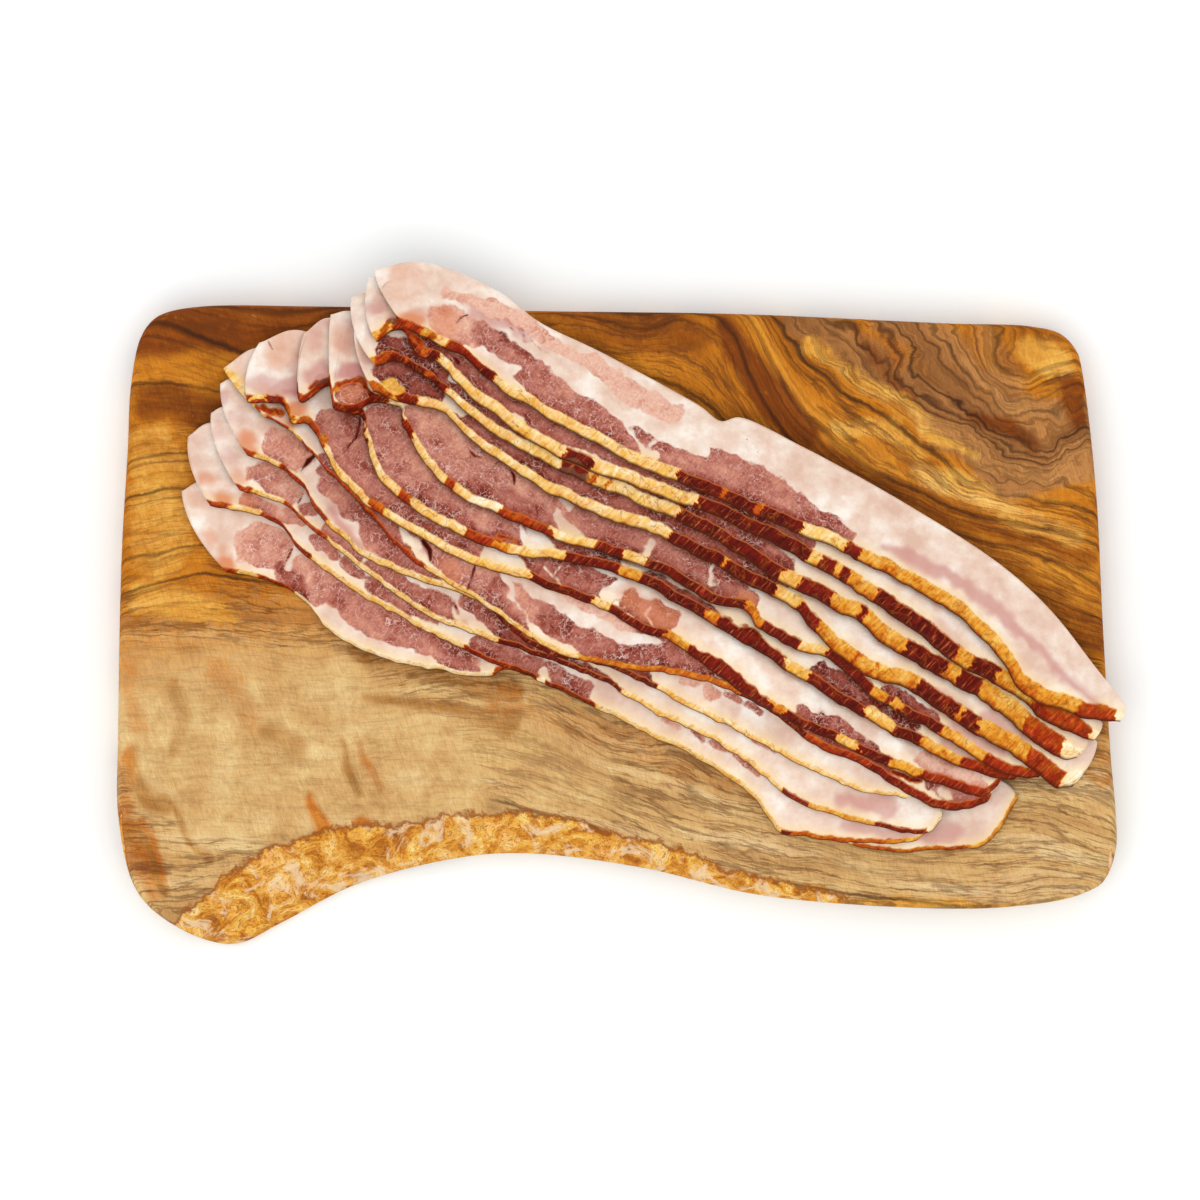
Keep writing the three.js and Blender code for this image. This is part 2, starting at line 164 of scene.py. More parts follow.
def board_rings():
    """The slab as rings from the underside's middle, round the rim, to the top's middle,
    with how far each place is inside the bark, in mm. The rim's section is two quarter
    rounds, and along the live edge the upper one is drawn in over the sloping crust."""
    rim = curve_through(BOARD_RIM, np.arange(RIM_POINTS) / RIM_POINTS, closed=True)
    wrapped = np.vstack([rim[-1:], rim, rim[:1]])
    inward = left_of(np.gradient(wrapped, axis=0))[1:-1]
    reach = np.where(rim[:, 1] < LIVE_SIDE, along(BARK_REACH, rim[:, 0]), 0)
    drop = np.minimum(reach * BARK_SLOPE, BOARD_THICKNESS - EDGE_ROUND - BARK_FOOT)

    def ring(inset, share, height):
        plan = rim + inward * inset + np.stack([0 * reach, reach * share], axis=-1)
        return np.column_stack([plan, np.broadcast_to(height, reach.shape)])

    def shrunk(outer, share):
        plan = BOARD_MIDDLE + (outer[:, :2] - BOARD_MIDDLE) * share
        return np.column_stack([plan, outer[:, 2]])

    lower = [ring(EDGE_ROUND * (1 - np.sin(turn)), 0, EDGE_ROUND * (1 - np.cos(turn)))
             for turn in np.linspace(0, np.pi / 2, 6)]
    foot = BOARD_THICKNESS - EDGE_ROUND - drop
    side = [ring(0, 0, EDGE_ROUND + (foot - EDGE_ROUND) * share) for share in (0.25, 0.5, 0.75)]
    crusted = []
    for share in np.linspace(0, 1, 17):
        turn = share * np.pi / 2
        height = (BOARD_THICKNESS - EDGE_ROUND * (1 - np.sin(turn))
                  - drop * (1 - share) ** BARK_SWELL)
        place = ring(EDGE_ROUND * (1 - np.cos(turn)), share, height)
        window = smooth(1, 6, reach) * smooth(0, 0.12, share) * (1 - smooth(0.85, 1, share))
        place[:, 2] += BARK_RELIEF * window * lumps(place[:, 0], place[:, 1], BARK_LUMPS)
        crusted.append(place)
    under = [shrunk(lower[0], share) for share in np.linspace(0.01, 1, 8)[:-1]]
    top = [shrunk(crusted[-1], share) for share in np.linspace(1, 0.01, TOP_RINGS)[1:]]
    sawn = len(under + lower + side)
    rings = np.array(under + lower + side + crusted + top)

    border = crusted[-1][crusted[-1][:, 1] < LIVE_SIDE]
    border = border[np.argsort(border[:, 0])]
    crust = np.interp(rings[..., 0], border[:, 0], border[:, 1]) - rings[..., 1]
    crust[:sawn] = BARE
    for start, end in BARK_ENDS:
        crust -= END_LOSS * smooth(start, end, rings[..., 0])
    return rings, np.clip(crust, BARE, DEEP)


# The figure of the wood. Its growth lines are level lines of one grain height, which a thin
# plate bends through these marks: the height in mm, then the places it passes.
GRAIN_MARKS = [
    (120, [[83, 91], [85, 80], [92, 70], [102, 63], [113, 59], [123, 51], [130, 49], [150, 55]]),
    (131, [[102, 89], [106, 81], [112, 74], [119, 69], [130, 62], [140, 60], [153, 63]]),
    (142, [[123.5, 88], [119, 81], [121, 75], [128, 70.5]]), (134, [[134, 66], [146, 70]]),
    (146, [[132, 84], [142, 82]]),
    (112, [[56, 93], [65, 79], [76, 71], [89, 65], [99, 57], [108, 52], [115, 46],
           [123, 44.5], [139, 41.5], [151, 38]]),
    (106, [[49, 93], [57, 82], [67, 75], [76, 67], [86, 59], [93, 53], [104, 46], [112, 38],
           [135, 32], [153, 28]]),
    (96, [[41, 92], [52, 70], [58, 61], [68, 52], [76, 45], [89, 38], [103, 32], [117, 28],
          [135, 24], [153, 19.5]]),
    (86, [[31, 93], [37, 86], [41, 75], [45, 67], [50, 59], [89, 32], [121, 19], [155, 5]]),
    (80, [[-20, 91], [6, 84]]),
    (84, [[-144, 88], [-135, 84], [-124, 78]]),
    (71, [[-156, 73], [-147, 72], [-137, 70], [-129, 68.5]]),
    (47, [[-158, 46], [-150, 48.5], [-141, 50]]),
    (36, [[-159, 34.5], [-150, 37.5], [-139, 37]]),
    (16, [[-160, 14.5], [-154, 17], [-150, 14], [-144, 17.5], [-136, 19.5]]),
    (7, [[-160, 4], [-152, 6.5], [-142, 8.5], [-132, 9.5]]),
    (-10, [[-160, -9], [-148, -9], [-120, -12], [-87, -13]]),
    (-19, [[-122, -19], [-60, -18], [-20, -19], [25, -32], [76, -45], [121, -51], [156, -56]]),
    (-30, [[-122, -30], [-45, -30], [-7, -42], [38, -56], [89, -67], [156, -74]]),
    (-50, [[-122, -50], [-45, -50], [-7, -61], [38, -74], [73, -82], [121, -86], [156, -87]]),
    (-62, [[-12, -71], [14, -81], [38, -87], [66, -91.5], [93, -95], [121, -96], [149, -93]]),
]
# The lines that stand out: [grain height, half width, how dark].
BOLD_LINES = [
    [142, 0.7, 0.9], [138.5, 0.4, 0.7], [135, 0.5, 0.8], [131, 0.7, 0.9], [128, 0.5, 0.6],
    [123, 0.5, 0.8], [120.5, 0.6, 0.9], [118, 0.5, 0.9], [115.5, 0.4, 0.7], [110, 0.4, 0.5],
    [106, 0.8, 1], [103, 0.4, 0.6], [99, 0.4, 0.5], [96, 1.0, 1], [92.5, 0.4, 0.6],
    [86, 1.1, 0.9], [82.5, 0.5, 0.6], [71, 0.7, 1], [47, 0.6, 0.9], [44.5, 0.4, 0.8],
    [36, 0.6, 0.9], [33, 0.4, 0.7], [16, 0.6, 0.9], [7, 0.6, 0.9], [-9, 0.4, 0.4],
    [-62, 0.7, 0.8],
]
# Stains and clear patches in the wood: what it is, how much, and a chain of [x, y, half width].
# Two bands are painted shadow as well as dark wood: one just below the lowest rasher's front
# edge and one along the top rasher's back edge.
WOOD_TINTS = [
    ("calm", 1.0, [[-166, -26, 16], [-132, -44, 30], [-98, -46, 32], [-66, -58, 24],
                   [-44, -72, 10]]),
    ("calm", 0.6, [[-40, -40, 14], [-10, -58, 10]]),
    ("calm", 0.6, [[-158, 96, 12], [-120, 80, 24], [-96, 98, 12]]),
    ("calm", 0.6, [[-152, 60, 12], [-150, 28, 14], [-142, 6, 12]]),
    ("calm", 0.7, [[131, 81, 5], [143, 79, 4]]),
    ("calm", 0.55, [[66, -80, 4], [88, -83, 6], [108, -85, 4]]),
    ("ash", 0.85, [[56, 92, 5], [70, 84, 8], [84, 74, 8], [98, 66, 9], [114, 58, 9]]),
    ("ash", 0.8, [[88, 92, 6], [100, 84, 8], [112, 72, 8], [126, 60, 8], [150, 58, 8]]),
    ("ash", 0.95, [[108, 56, 7], [122, 45, 10], [138, 46, 9], [152, 46, 7]]),
    ("ash", 0.5, [[118, 84, 6], [124, 72, 6]]),
    ("stain_and_shadow", 0.7, [[-81, -28, 1.5], [-72, -30.5, 2.8], [-55, -33, 2.4], [-36, -37, 4]]),
    # Partly painted shadow: a brown band just below the lowest rasher's front edge.
    ("stain_and_shadow", 0.7, [[-84, -15, 3], [-60, -21, 4], [-34, -28, 4]]),
    ("stain_and_shadow", 0.8, [[-160, -48, 2], [-154, -58, 3.6], [-147, -67, 1.6]]),
    ("stain_and_shadow", 1.0, [[-157, -71, 2], [-152, -80, 3.2], [-146, -90, 2.6]]),
    ("stain_and_shadow", 0.8, [[-148, -62, 1], [-140, -73, 1.4], [-132, -84, 1]]),
    ("stain_and_shadow", 0.8, [[-91, -45, 1], [-87, -53, 1.6], [-84, -59, 1]]),
    ("stain_and_shadow", 0.5, [[-143, -24, 2], [-140, -36, 3], [-143, -47, 2]]),
    ("stain_and_shadow", 0.55, [[-112, -40, 3], [-104, -47, 4]]),
    ("umber_and_shadow", 1.0, [[-158, 88, 9], [-122, 94, 12], [-92, 97, 9]]),
    ("umber_and_shadow", 0.7, [[-150, 66, 6], [-132, 60, 7]]),
    ("umber_and_shadow", 0.6, [[-20, 94, 8], [6, 88, 7], [26, 86, 5]]),
    ("umber_and_shadow", 1.0, [[34, 90, 3], [42, 76, 6], [50, 64, 7], [60, 54, 6]]),
    # Partly painted shadow: dark wood along the top rasher's back edge.
    ("umber_and_shadow", 0.6, [[64, 48, 4], [92, 33, 5], [122, 14, 6], [154, -12, 7]]),
    ("umber_and_shadow", 0.6, [[92, 44, 2], [104, 33, 3], [124, 24, 3], [152, 14, 3]]),
    ("umber_and_shadow", 1.0, [[142, 75, 2.4], [145, 68, 3.6], [147, 60, 2.6]]),
    ("umber_and_shadow", 0.8, [[112, 62, 2], [122, 56, 3], [132, 50, 2.4]]),
    ("umber_and_shadow", 0.6, [[75, 90, 2], [80, 78, 2.4], [92, 66, 2.4]]),
    ("rust", 0.7, [[84, 86, 3], [88, 78, 3]]),
    ("rust", 0.6, [[-83, -44, 1.2], [-81, -50, 1.8], [-76.5, -58, 1.0]]),
    ("rust", 1.0, [[-100, -60, 1.2], [-98.5, -65, 2.0], [-97.4, -74, 3.0]]),
    ("rust", 1.2, [[-84, -70.4, 3.4]]),
    ("rust", 0.6, [[-160, -48, 3], [-159, -74, 4], [-151, -92, 3]]),
    ("rust", 0.7, [[-154, -70, 1.6], [-146, -86, 1.8]]),
    ("rust", 0.2, [[-149, -60, 1], [-133, -83, 1.2]]),
    ("rust", 0.6, [[136, -44, 1.2], [158, -50, 1.4]]),
    ("rust", 0.6, [[138, -52, 1.2], [158, -57, 1.4]]),
    ("rust", 0.35, [[-40, -30, 5], [10, -46, 6], [50, -64, 5]]),
    ("rust", 0.4, [[-159, -20, 3], [-156, -38, 4]]),
    ("rust", 0.35, [[-128, -22, 5], [-118, -36, 5]]),
    ("glow", 1.0, [[131, 82, 3.6], [138, 80, 4.6], [144, 78, 2.4]]),
    ("glow", 0.9, [[60, 83, 2.6], [65, 79, 2.6]]),
    ("glow", 0.8, [[65, 79, 1.8], [76, 71, 2.2], [89, 65, 2.2], [99, 57, 2.2], [108, 52, 2.0],
                   [114, 46, 1.6]]),
    ("glow", 0.7, [[72, 58, 3], [84, 56, 3.4], [98, 48, 2.6]]),
    ("glow", 0.8, [[98, 42, 3], [110, 37, 3.6], [121, 33, 2.6]]),
    ("glow", 0.6, [[123, 32, 3.4], [134, 27, 4], [146, 23, 3.4]]),
    ("glow", 0.5, [[-150, 50, 8], [-147, 30, 12], [-147, 14, 8]]),
    ("glow", 0.8, [[-155, 2, 4], [-140, -1, 5], [-127, -3, 4]]),
    ("glow", 0.9, [[-4, -74, 1], [20, -85, 1.3], [46, -91, 1.4], [80, -95.5, 1.5],
                   [120, -98, 1.5], [150, -95, 1.5]]),
]


def grain_height(x, y):
    """The thin plate through the marks, plus slow waves: a plane, plus r^2 ln r round each
    mark, weighted so that it passes them all within a fraction of a millimetre."""
    def bend(far):
        return far * np.log(far + 1e-9) / 2

    marks = np.array([[*place, height] for height, places in GRAIN_MARKS for place in places],
                     float)
    at, count = marks[:, :2], len(marks)
    far = ((at[:, None] - at[None]) ** 2).sum(axis=-1)
    plane = np.column_stack([np.ones(count), at])
    system = np.block([[bend(far) + PLATE_SLACK * np.eye(count), plane],
                       [plane.T, np.zeros((3, 3))]])
    weights = np.linalg.solve(system, np.append(marks[:, 2], [0, 0, 0]))
    height = weights[-3] + weights[-2] * x + weights[-1] * y
    for (mark_x, mark_y), weight in zip(at, weights):
        height = height + weight * bend((x - mark_x) ** 2 + (y - mark_y) ** 2)
    return height + lumps(x, y, GRAIN_WAVES)


def inside(x, y, chain):
    """How far each place is inside a chain of [x, y, half width], whose links taper from
    one to the next. Below 0 it is that far outside."""
    depth = np.full(x.shape, -99.0)
    for (x0, y0, w0), (x1, y1, w1) in zip(chain, chain[1:] + chain[-1:]):
        dx, dy = x1 - x0, y1 - y0
        t = np.clip(((x - x0) * dx + (y - y0) * dy) / max(dx * dx + dy * dy, 1e-9), 0, 1)
        far = np.hypot(x - x0 - t * dx, y - y0 - t * dy)
        depth = np.maximum(depth, w0 + t * (w1 - w0) - far)
    return depth


def wood_tints(x, y):
    """How much of each tint the wood has at each place, from its chains. Their borders are
    soft over 1 mm plus 0.3 of the widest half width, at most 3 mm, to either side."""
    tint = {kind: 0 * x for kind in ("calm", "ash", "umber_and_shadow", "stain_and_shadow", "rust", "glow")}
    warp_x, warp_y = [at + lumps(x, y, drift) for at, drift in zip((x, y), TINT_DRIFT)]
    for kind, amount, chain in WOOD_TINTS:
        soft = min(3.0, 1.0 + 0.3 * max(link[2] for link in chain))
        depth = inside(warp_x, warp_y, chain)
        tint[kind] = np.maximum(tint[kind], amount * smooth(-soft, soft, depth))
    return tint


def linear(code):
    """An sRGB hex colour as linear red, green, blue and alpha."""
    sRGB = np.array([int(code[k:k + 2], 16) for k in (1, 3, 5)]) / 255
    values = np.where(sRGB <= 0.04045, sRGB / 12.92, ((sRGB + 0.055) / 1.055) ** 2.4)
    return (*values.tolist(), 1.0)


def add(tree, kind, inputs=(), stops=(), **settings):
    """Adds a node. Its inputs, in order or by name, take values, sRGB colours, outputs or
    nodes, and a ramp takes stops: pairs of a position and a colour or grey."""
    node = tree.nodes.new("ShaderNode" + kind)
    for name, value in settings.items():
        setattr(node, name, value)
    if isinstance(inputs, dict):
        filled = [(node.inputs[name], value) for name, value in inputs.items()]
    else:
        filled = zip([socket for socket in node.inputs if socket.enabled], inputs)
    for socket, value in filled:
        if isinstance(value, bpy.types.Node):
            value = next(output for output in value.outputs if output.enabled)
        if isinstance(value, bpy.types.NodeSocket):
            tree.links.new(value, socket)
        else:
            socket.default_value = linear(value) if isinstance(value, str) else value
    for number, (position, colour) in enumerate(stops):
        slots = node.color_ramp.elements
        slot = slots[number] if number < len(slots) else slots.new(1.0)
        slot.position = position
        slot.color = linear(colour) if isinstance(colour, str) else (colour,) * 3 + (1,)
    return node


def new_material(name):
    """An empty material and its tree of nodes."""
    material = bpy.data.materials.new(name)
    material.use_nodes = True
    material.node_tree.nodes.clear()
    return material, material.node_tree


# Settings of the nodes that mix colours. They take how much, what lies below, what above.
LAID = {"data_type": "RGBA"}
OVERLAY = {"data_type": "RGBA", "blend_type": "OVERLAY"}


def olive_wood():
    """Olive wood, planed and oiled: honey, umber and ash-brown ground, near-black growth lines
    that swirl to one corner, fine pores, a crumbling golden bark on its edge, and painted
    shadow in bands beside two rashers' edges."""
    material, tree = new_material("oiled_olive_wood")
    place = add(tree, "TexCoord").outputs["Object"]
    value = {name: add(tree, "Attribute", attribute_name=name).outputs["Fac"]
             for name in ("grain", "warmth", "calm", "ash", "umber_and_shadow", "stain_and_shadow", "rust", "glow",
                          "crust")}
    # Noise by the size of its lumps in mm: detail, roughness and distortion.
    noise = {}
    for name, size, *rest in (("shaky", 3.5, 5, 0.7, 0), ("buds", 19, 3, 0.5, 0.4),
                              ("patches", 14, 10, 0.72, 0), ("swirl", 11, 6, 0.62, 1.6),
                              ("crumble", 1.6, 5, 0.7, 0), ("pale", 12, 5, 0.7, 1)):
        noise[name] = add(tree, "TexNoise", {
            "Vector": place, "Scale": 1000 / size,
            **dict(zip(("Detail", "Roughness", "Distortion"), rest))})
    shaky = noise["shaky"]

    # The grain trembles. Ash-brown wood is burr: its lines turn back on themselves round
    # buds 19 mm apart.
    grain = add(tree, "Math", [shaky, TREMBLE, value["grain"]], operation="MULTIPLY_ADD")
    buds = add(tree, "Math", [noise["buds"], 0.5], operation="SUBTRACT")
    swell = add(tree, "Math", [value["ash"], 21], operation="MULTIPLY")
    grain = add(tree, "Math", [buds, swell, grain], operation="MULTIPLY_ADD")

    # Noise drawn out along the grain: each cell's size across and along it, in mm.
    run = add(tree, "SeparateXYZ", [place])
    drawn = {}
    for name, across, along_grain, detail in (
            ("bands", 8, 80, 5), ("wide", 7, 70, 4), ("fine", 3, 40, 3), ("pores", 0.6, 9, 3),
            ("rays", 5, 0.9, 3)):
        over = add(tree, "Math", [grain, across], operation="DIVIDE")
        down = add(tree, "Math", [run, along_grain * 0.001], operation="DIVIDE")
        spot = add(tree, "CombineXYZ", [over, down])
        drawn[name] = add(tree, "TexNoise",
                          {"Vector": spot, "Scale": 1, "Detail": detail, "Roughness": 0.6})

    # Seven grounds, each from dark to light by the bands, laid over one another. Where the
    # wood is calm the bands give way to soft blotches.
    evened = add(tree, "Math", [value["calm"], 0.85], operation="MULTIPLY")
    soft = add(tree, "MapRange", [noise["patches"], 0.2, 0.8, 0.34, 0.7])
    level = add(tree, "Mix", [evened, drawn["bands"], soft])
    fray = add(tree, "Math", [shaky, 0.9, -0.45], operation="MULTIPLY_ADD")
    for name, *colours in ((None, "#B2804A", "#D0A468", "#E4C490"),
                           ("warmth", "#985008", "#C07216", "#DC9230"),
                           ("ash", "#7A4A24", "#A86E3A", "#C48A4E"),
                           ("umber_and_shadow", "#5A2806", "#843E06", "#A85A12"),
                           ("stain_and_shadow", "#7A4816", "#A56E32", "#C8985A"),
                           ("rust", "#96480E", "#BC6A20", "#D68E3C"),
                           ("glow", "#BE7820", "#DE9E40", "#F0BC66")):
        tone = add(tree, "ValToRGB", [level], zip((0.3, 0.5, 0.7), colours))
        if name is None:
            ground = tone
        else:
            part = add(tree, "Math", [fray, value[name]], operation="ADD")
            part = add(tree, "MapRange", [part, 0.12, 0.8])
            ground = add(tree, "Mix", [part, ground, tone], **LAID)
    shade = add(tree, "ValToRGB", [noise["patches"]], [(0.3, 0.25), (0.7, 0.75)])
    ground = add(tree, "Mix", [0.35, ground, shade], **OVERLAY)
    brushed = add(tree, "Mapping",
                  {"Vector": place, "Rotation": (0, 0, 1.9), "Scale": (0.008, 0.0012, 0.004)},
                  vector_type="TEXTURE")
    brushed = add(tree, "TexNoise", {"Vector": brushed, "Scale": 1, "Detail": 6,
                                     "Roughness": 0.7, "Distortion": 2.6})
    brushed = add(tree, "ValToRGB", [brushed], [(0.3, 0.2), (0.7, 0.8)])
    ground = add(tree, "Mix", [0.42, ground, brushed], **OVERLAY)

    # Hair lines where two noises cross their middle, then rays, pores and the bold lines; all
    # but the rays are fainter where the wood is calm.
    plain = add(tree, "Math", [value["ash"], 0.5, value["calm"]], operation="MULTIPLY_ADD")
    marked = add(tree, "MapRange", [plain, 0, 1, 0.5, 0.12])
    for name, width, colour in (("wide", 0.03, "#4E260C"), ("fine", 0.025, "#64361A")):
        beside = add(tree, "Math", [drawn[name], 0.5], operation="SUBTRACT")
        beside = add(tree, "Math", [beside], operation="ABSOLUTE")
        hair = add(tree, "MapRange", [beside, 0.25 * width, width, marked, 0])
        ground = add(tree, "Mix", [hair, ground, colour], **LAID)
    for name, low, high, most, colour in (("rays", 0.58, 0.7, 0.12, "#7A4C24"),
                                          ("pores", 0.55, 0.68, marked, "#6A3C16")):
        streak = add(tree, "MapRange", [drawn[name], low, high, 0, most])
        ground = add(tree, "Mix", [streak, ground, colour], **LAID)
    lines = 0.0
    for height, half_width, depth in BOLD_LINES:
        beside = add(tree, "Math", [grain, height + TREMBLE / 2], operation="SUBTRACT")
        beside = add(tree, "Math", [beside], operation="ABSOLUTE")
        beside = add(tree, "MapRange", [beside, 0.3 * half_width, 1.3 * half_width, depth, 0])
        lines = add(tree, "Math", [beside, lines], operation="MAXIMUM")
    broken = add(tree, "MapRange", [drawn["bands"], 0.3, 0.6, 1, 0.45])
    fading = add(tree, "MapRange", [value["calm"], 0.6, 0.95, 1, 0])
    for less in (broken, fading):
        lines = add(tree, "Math", [lines, less], operation="MULTIPLY")
    ground = add(tree, "Mix", [lines, ground, "#2E1708"], **LAID)

    # Bark: honey and cream blotches ringed by thin brown cracks, with a rust-brown border
    # that wanders.
    lumpy = add(tree, "Mix", [0.25, noise["swirl"], noise["crumble"]])
    bark = add(tree, "ValToRGB", [lumpy],
               [(0.32, "#7C4012"), (0.41, "#AE661A"), (0.48, "#D28C2E"), (0.55, "#E4AC50"),
                (0.66, "#F0CE90")])
    bark = add(tree, "Mix", [0.75, bark, shade], **OVERLAY)
    ring = add(tree, "Math", [noise["swirl"], 0.04], operation="PINGPONG")
    ring = add(tree, "MapRange", [ring, 0.003, 0.012, 0.75, 0])
    pale = add(tree, "MapRange", [noise["pale"], 0.53, 0.6, 0, 0.7])
    for part, colour in ((ring, "#87430F"), (pale, "#E2C6A0")):
        bark = add(tree, "Mix", [part, bark, colour], **LAID)
    edge = add(tree, "Math", [noise["patches"], 10, value["crust"]], operation="MULTIPLY_ADD")
    edge = add(tree, "Math", [shaky, 4, edge], operation="MULTIPLY_ADD")
    crusted = add(tree, "MapRange", [edge, 6.7, 7.2])
    border = add(tree, "MapRange", [edge, 5.6, 7, 0, 0.9])
    past = add(tree, "MapRange", [edge, 7.2, 8.4, 1, 0])
    border = add(tree, "Math", [border, past], operation="MULTIPLY")
    for part, colour in ((crusted, bark), (border, "#8E4A14")):
        ground = add(tree, "Mix", [part, ground, colour], **LAID)

    rough = add(tree, "Mix", [crusted, drawn["pores"], lumpy])
    bump = add(tree, "Bump", {"Height": rough, "Strength": 0.5, "Distance": 0.001})
    finish = add(tree, "BsdfPrincipled", {"Base Color": ground, "Roughness": 0.5,
                                          "Specular IOR Level": 0.08, "Normal": bump})
    add(tree, "OutputMaterial", [finish])
    return material


# The ground warms from the front to the back, and sooner towards both ends.
rings, crust = board_rings()
board_x, board_y, sunk = rings[..., 0], rings[..., 1], BOARD_THICKNESS - rings[..., 2]
board = skin("board_wood", rings, {
    "grain": grain_height(board_x, board_y) + LAYER_LEAN * sunk,
    "warmth": smooth(-30, 45, board_y + 0.22 * np.abs(board_x - BOARD_MIDDLE[0])
                     + lumps(board_x, board_y, WARMTH_DRIFT)),
    **wood_tints(board_x + TINT_LEAN * sunk, board_y - TINT_LEAN * sunk),
    "crust": crust,
})
board.data.materials.append(olive_wood())
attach(board, "root")
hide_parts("board")

# ---------- The rashers ----------
# Smoked back bacon, cut thick and laid down one after another: each lies over the one
# before and further back, limp enough to sag onto it and thick enough to bridge steps.

RASHER_THICKNESS = 4.1    # measured straight up
RASHER_LENGTH = 270.0     # about what each is, for what is counted from its ends
FRONT_LENGTH = 260.0      # about what a front edge is, for its waver
LAYER_GAP = 0.4           # between a rasher's underside and what carries it
STIFFNESS = 24.0          # smallest radius a rasher sags to, over a step
SAG_REACH = 20.0          # how far a step is felt
TIP_THINNING = 0.3        # share of the thickness lost at the narrow end
END_ARC = 0.11            # how far an end bows out, as a share of the rasher's width
END_ROUND = 1.3           # how far from an end its cut face starts to round off
BED_CELL = 0.7            # grid of the heights that the next rasher lies on
BED_HALF = (176.0, 120.0)
EDGE_FALL = 0.75          # share of the thickness that the cut edge falls by
WIDEST_EDGE = 0.45        # the most of the rasher's width that the cut edge takes up
FIBRE_SLANT = 0.45        # how far a border on the cut edge runs along for each one down
UNDERSIDE = 3.0           # counts as this far over the cut edge, so it is browned as well
FAR = 4.0                 # the most that anything counts as inside or outside, in mm
HIDDEN_SHARES = [0.3, 0.5, 0.7, 0.86]
CAD_STEPS = 33            # the solids' stations, which the ends' bow is counted in
BOW_STEPS = 3             # how many of them an end's bow takes

# Fields of lumps, as [how high, size of a lump in mm, seed], to which the rasher's number
# is added.
EDGE_WAVER = [[0.4, 6.5, 40], [0.28, 2.4, 60]]
FACE_RELIEF = [[0.16, 9, 80], [0.08, 3, 100]]
TOP_RELIEF = [[0.16, 1.5, 220]]
BORDER_WANDER = [[0.7, 4.0, 140], [0.4, 1.6, 160]]
CREST_WANDER = [[0.15, 1.6, 160]]
SLIDE = [[0.8, 2.2, 180], [0.6, 1.3, 200]]
STROKE_DRIFT = [[[1.1, 7, 240], [0.7, 2.8, 260]], [[1.1, 7, 280], [0.7, 2.8, 300]]]

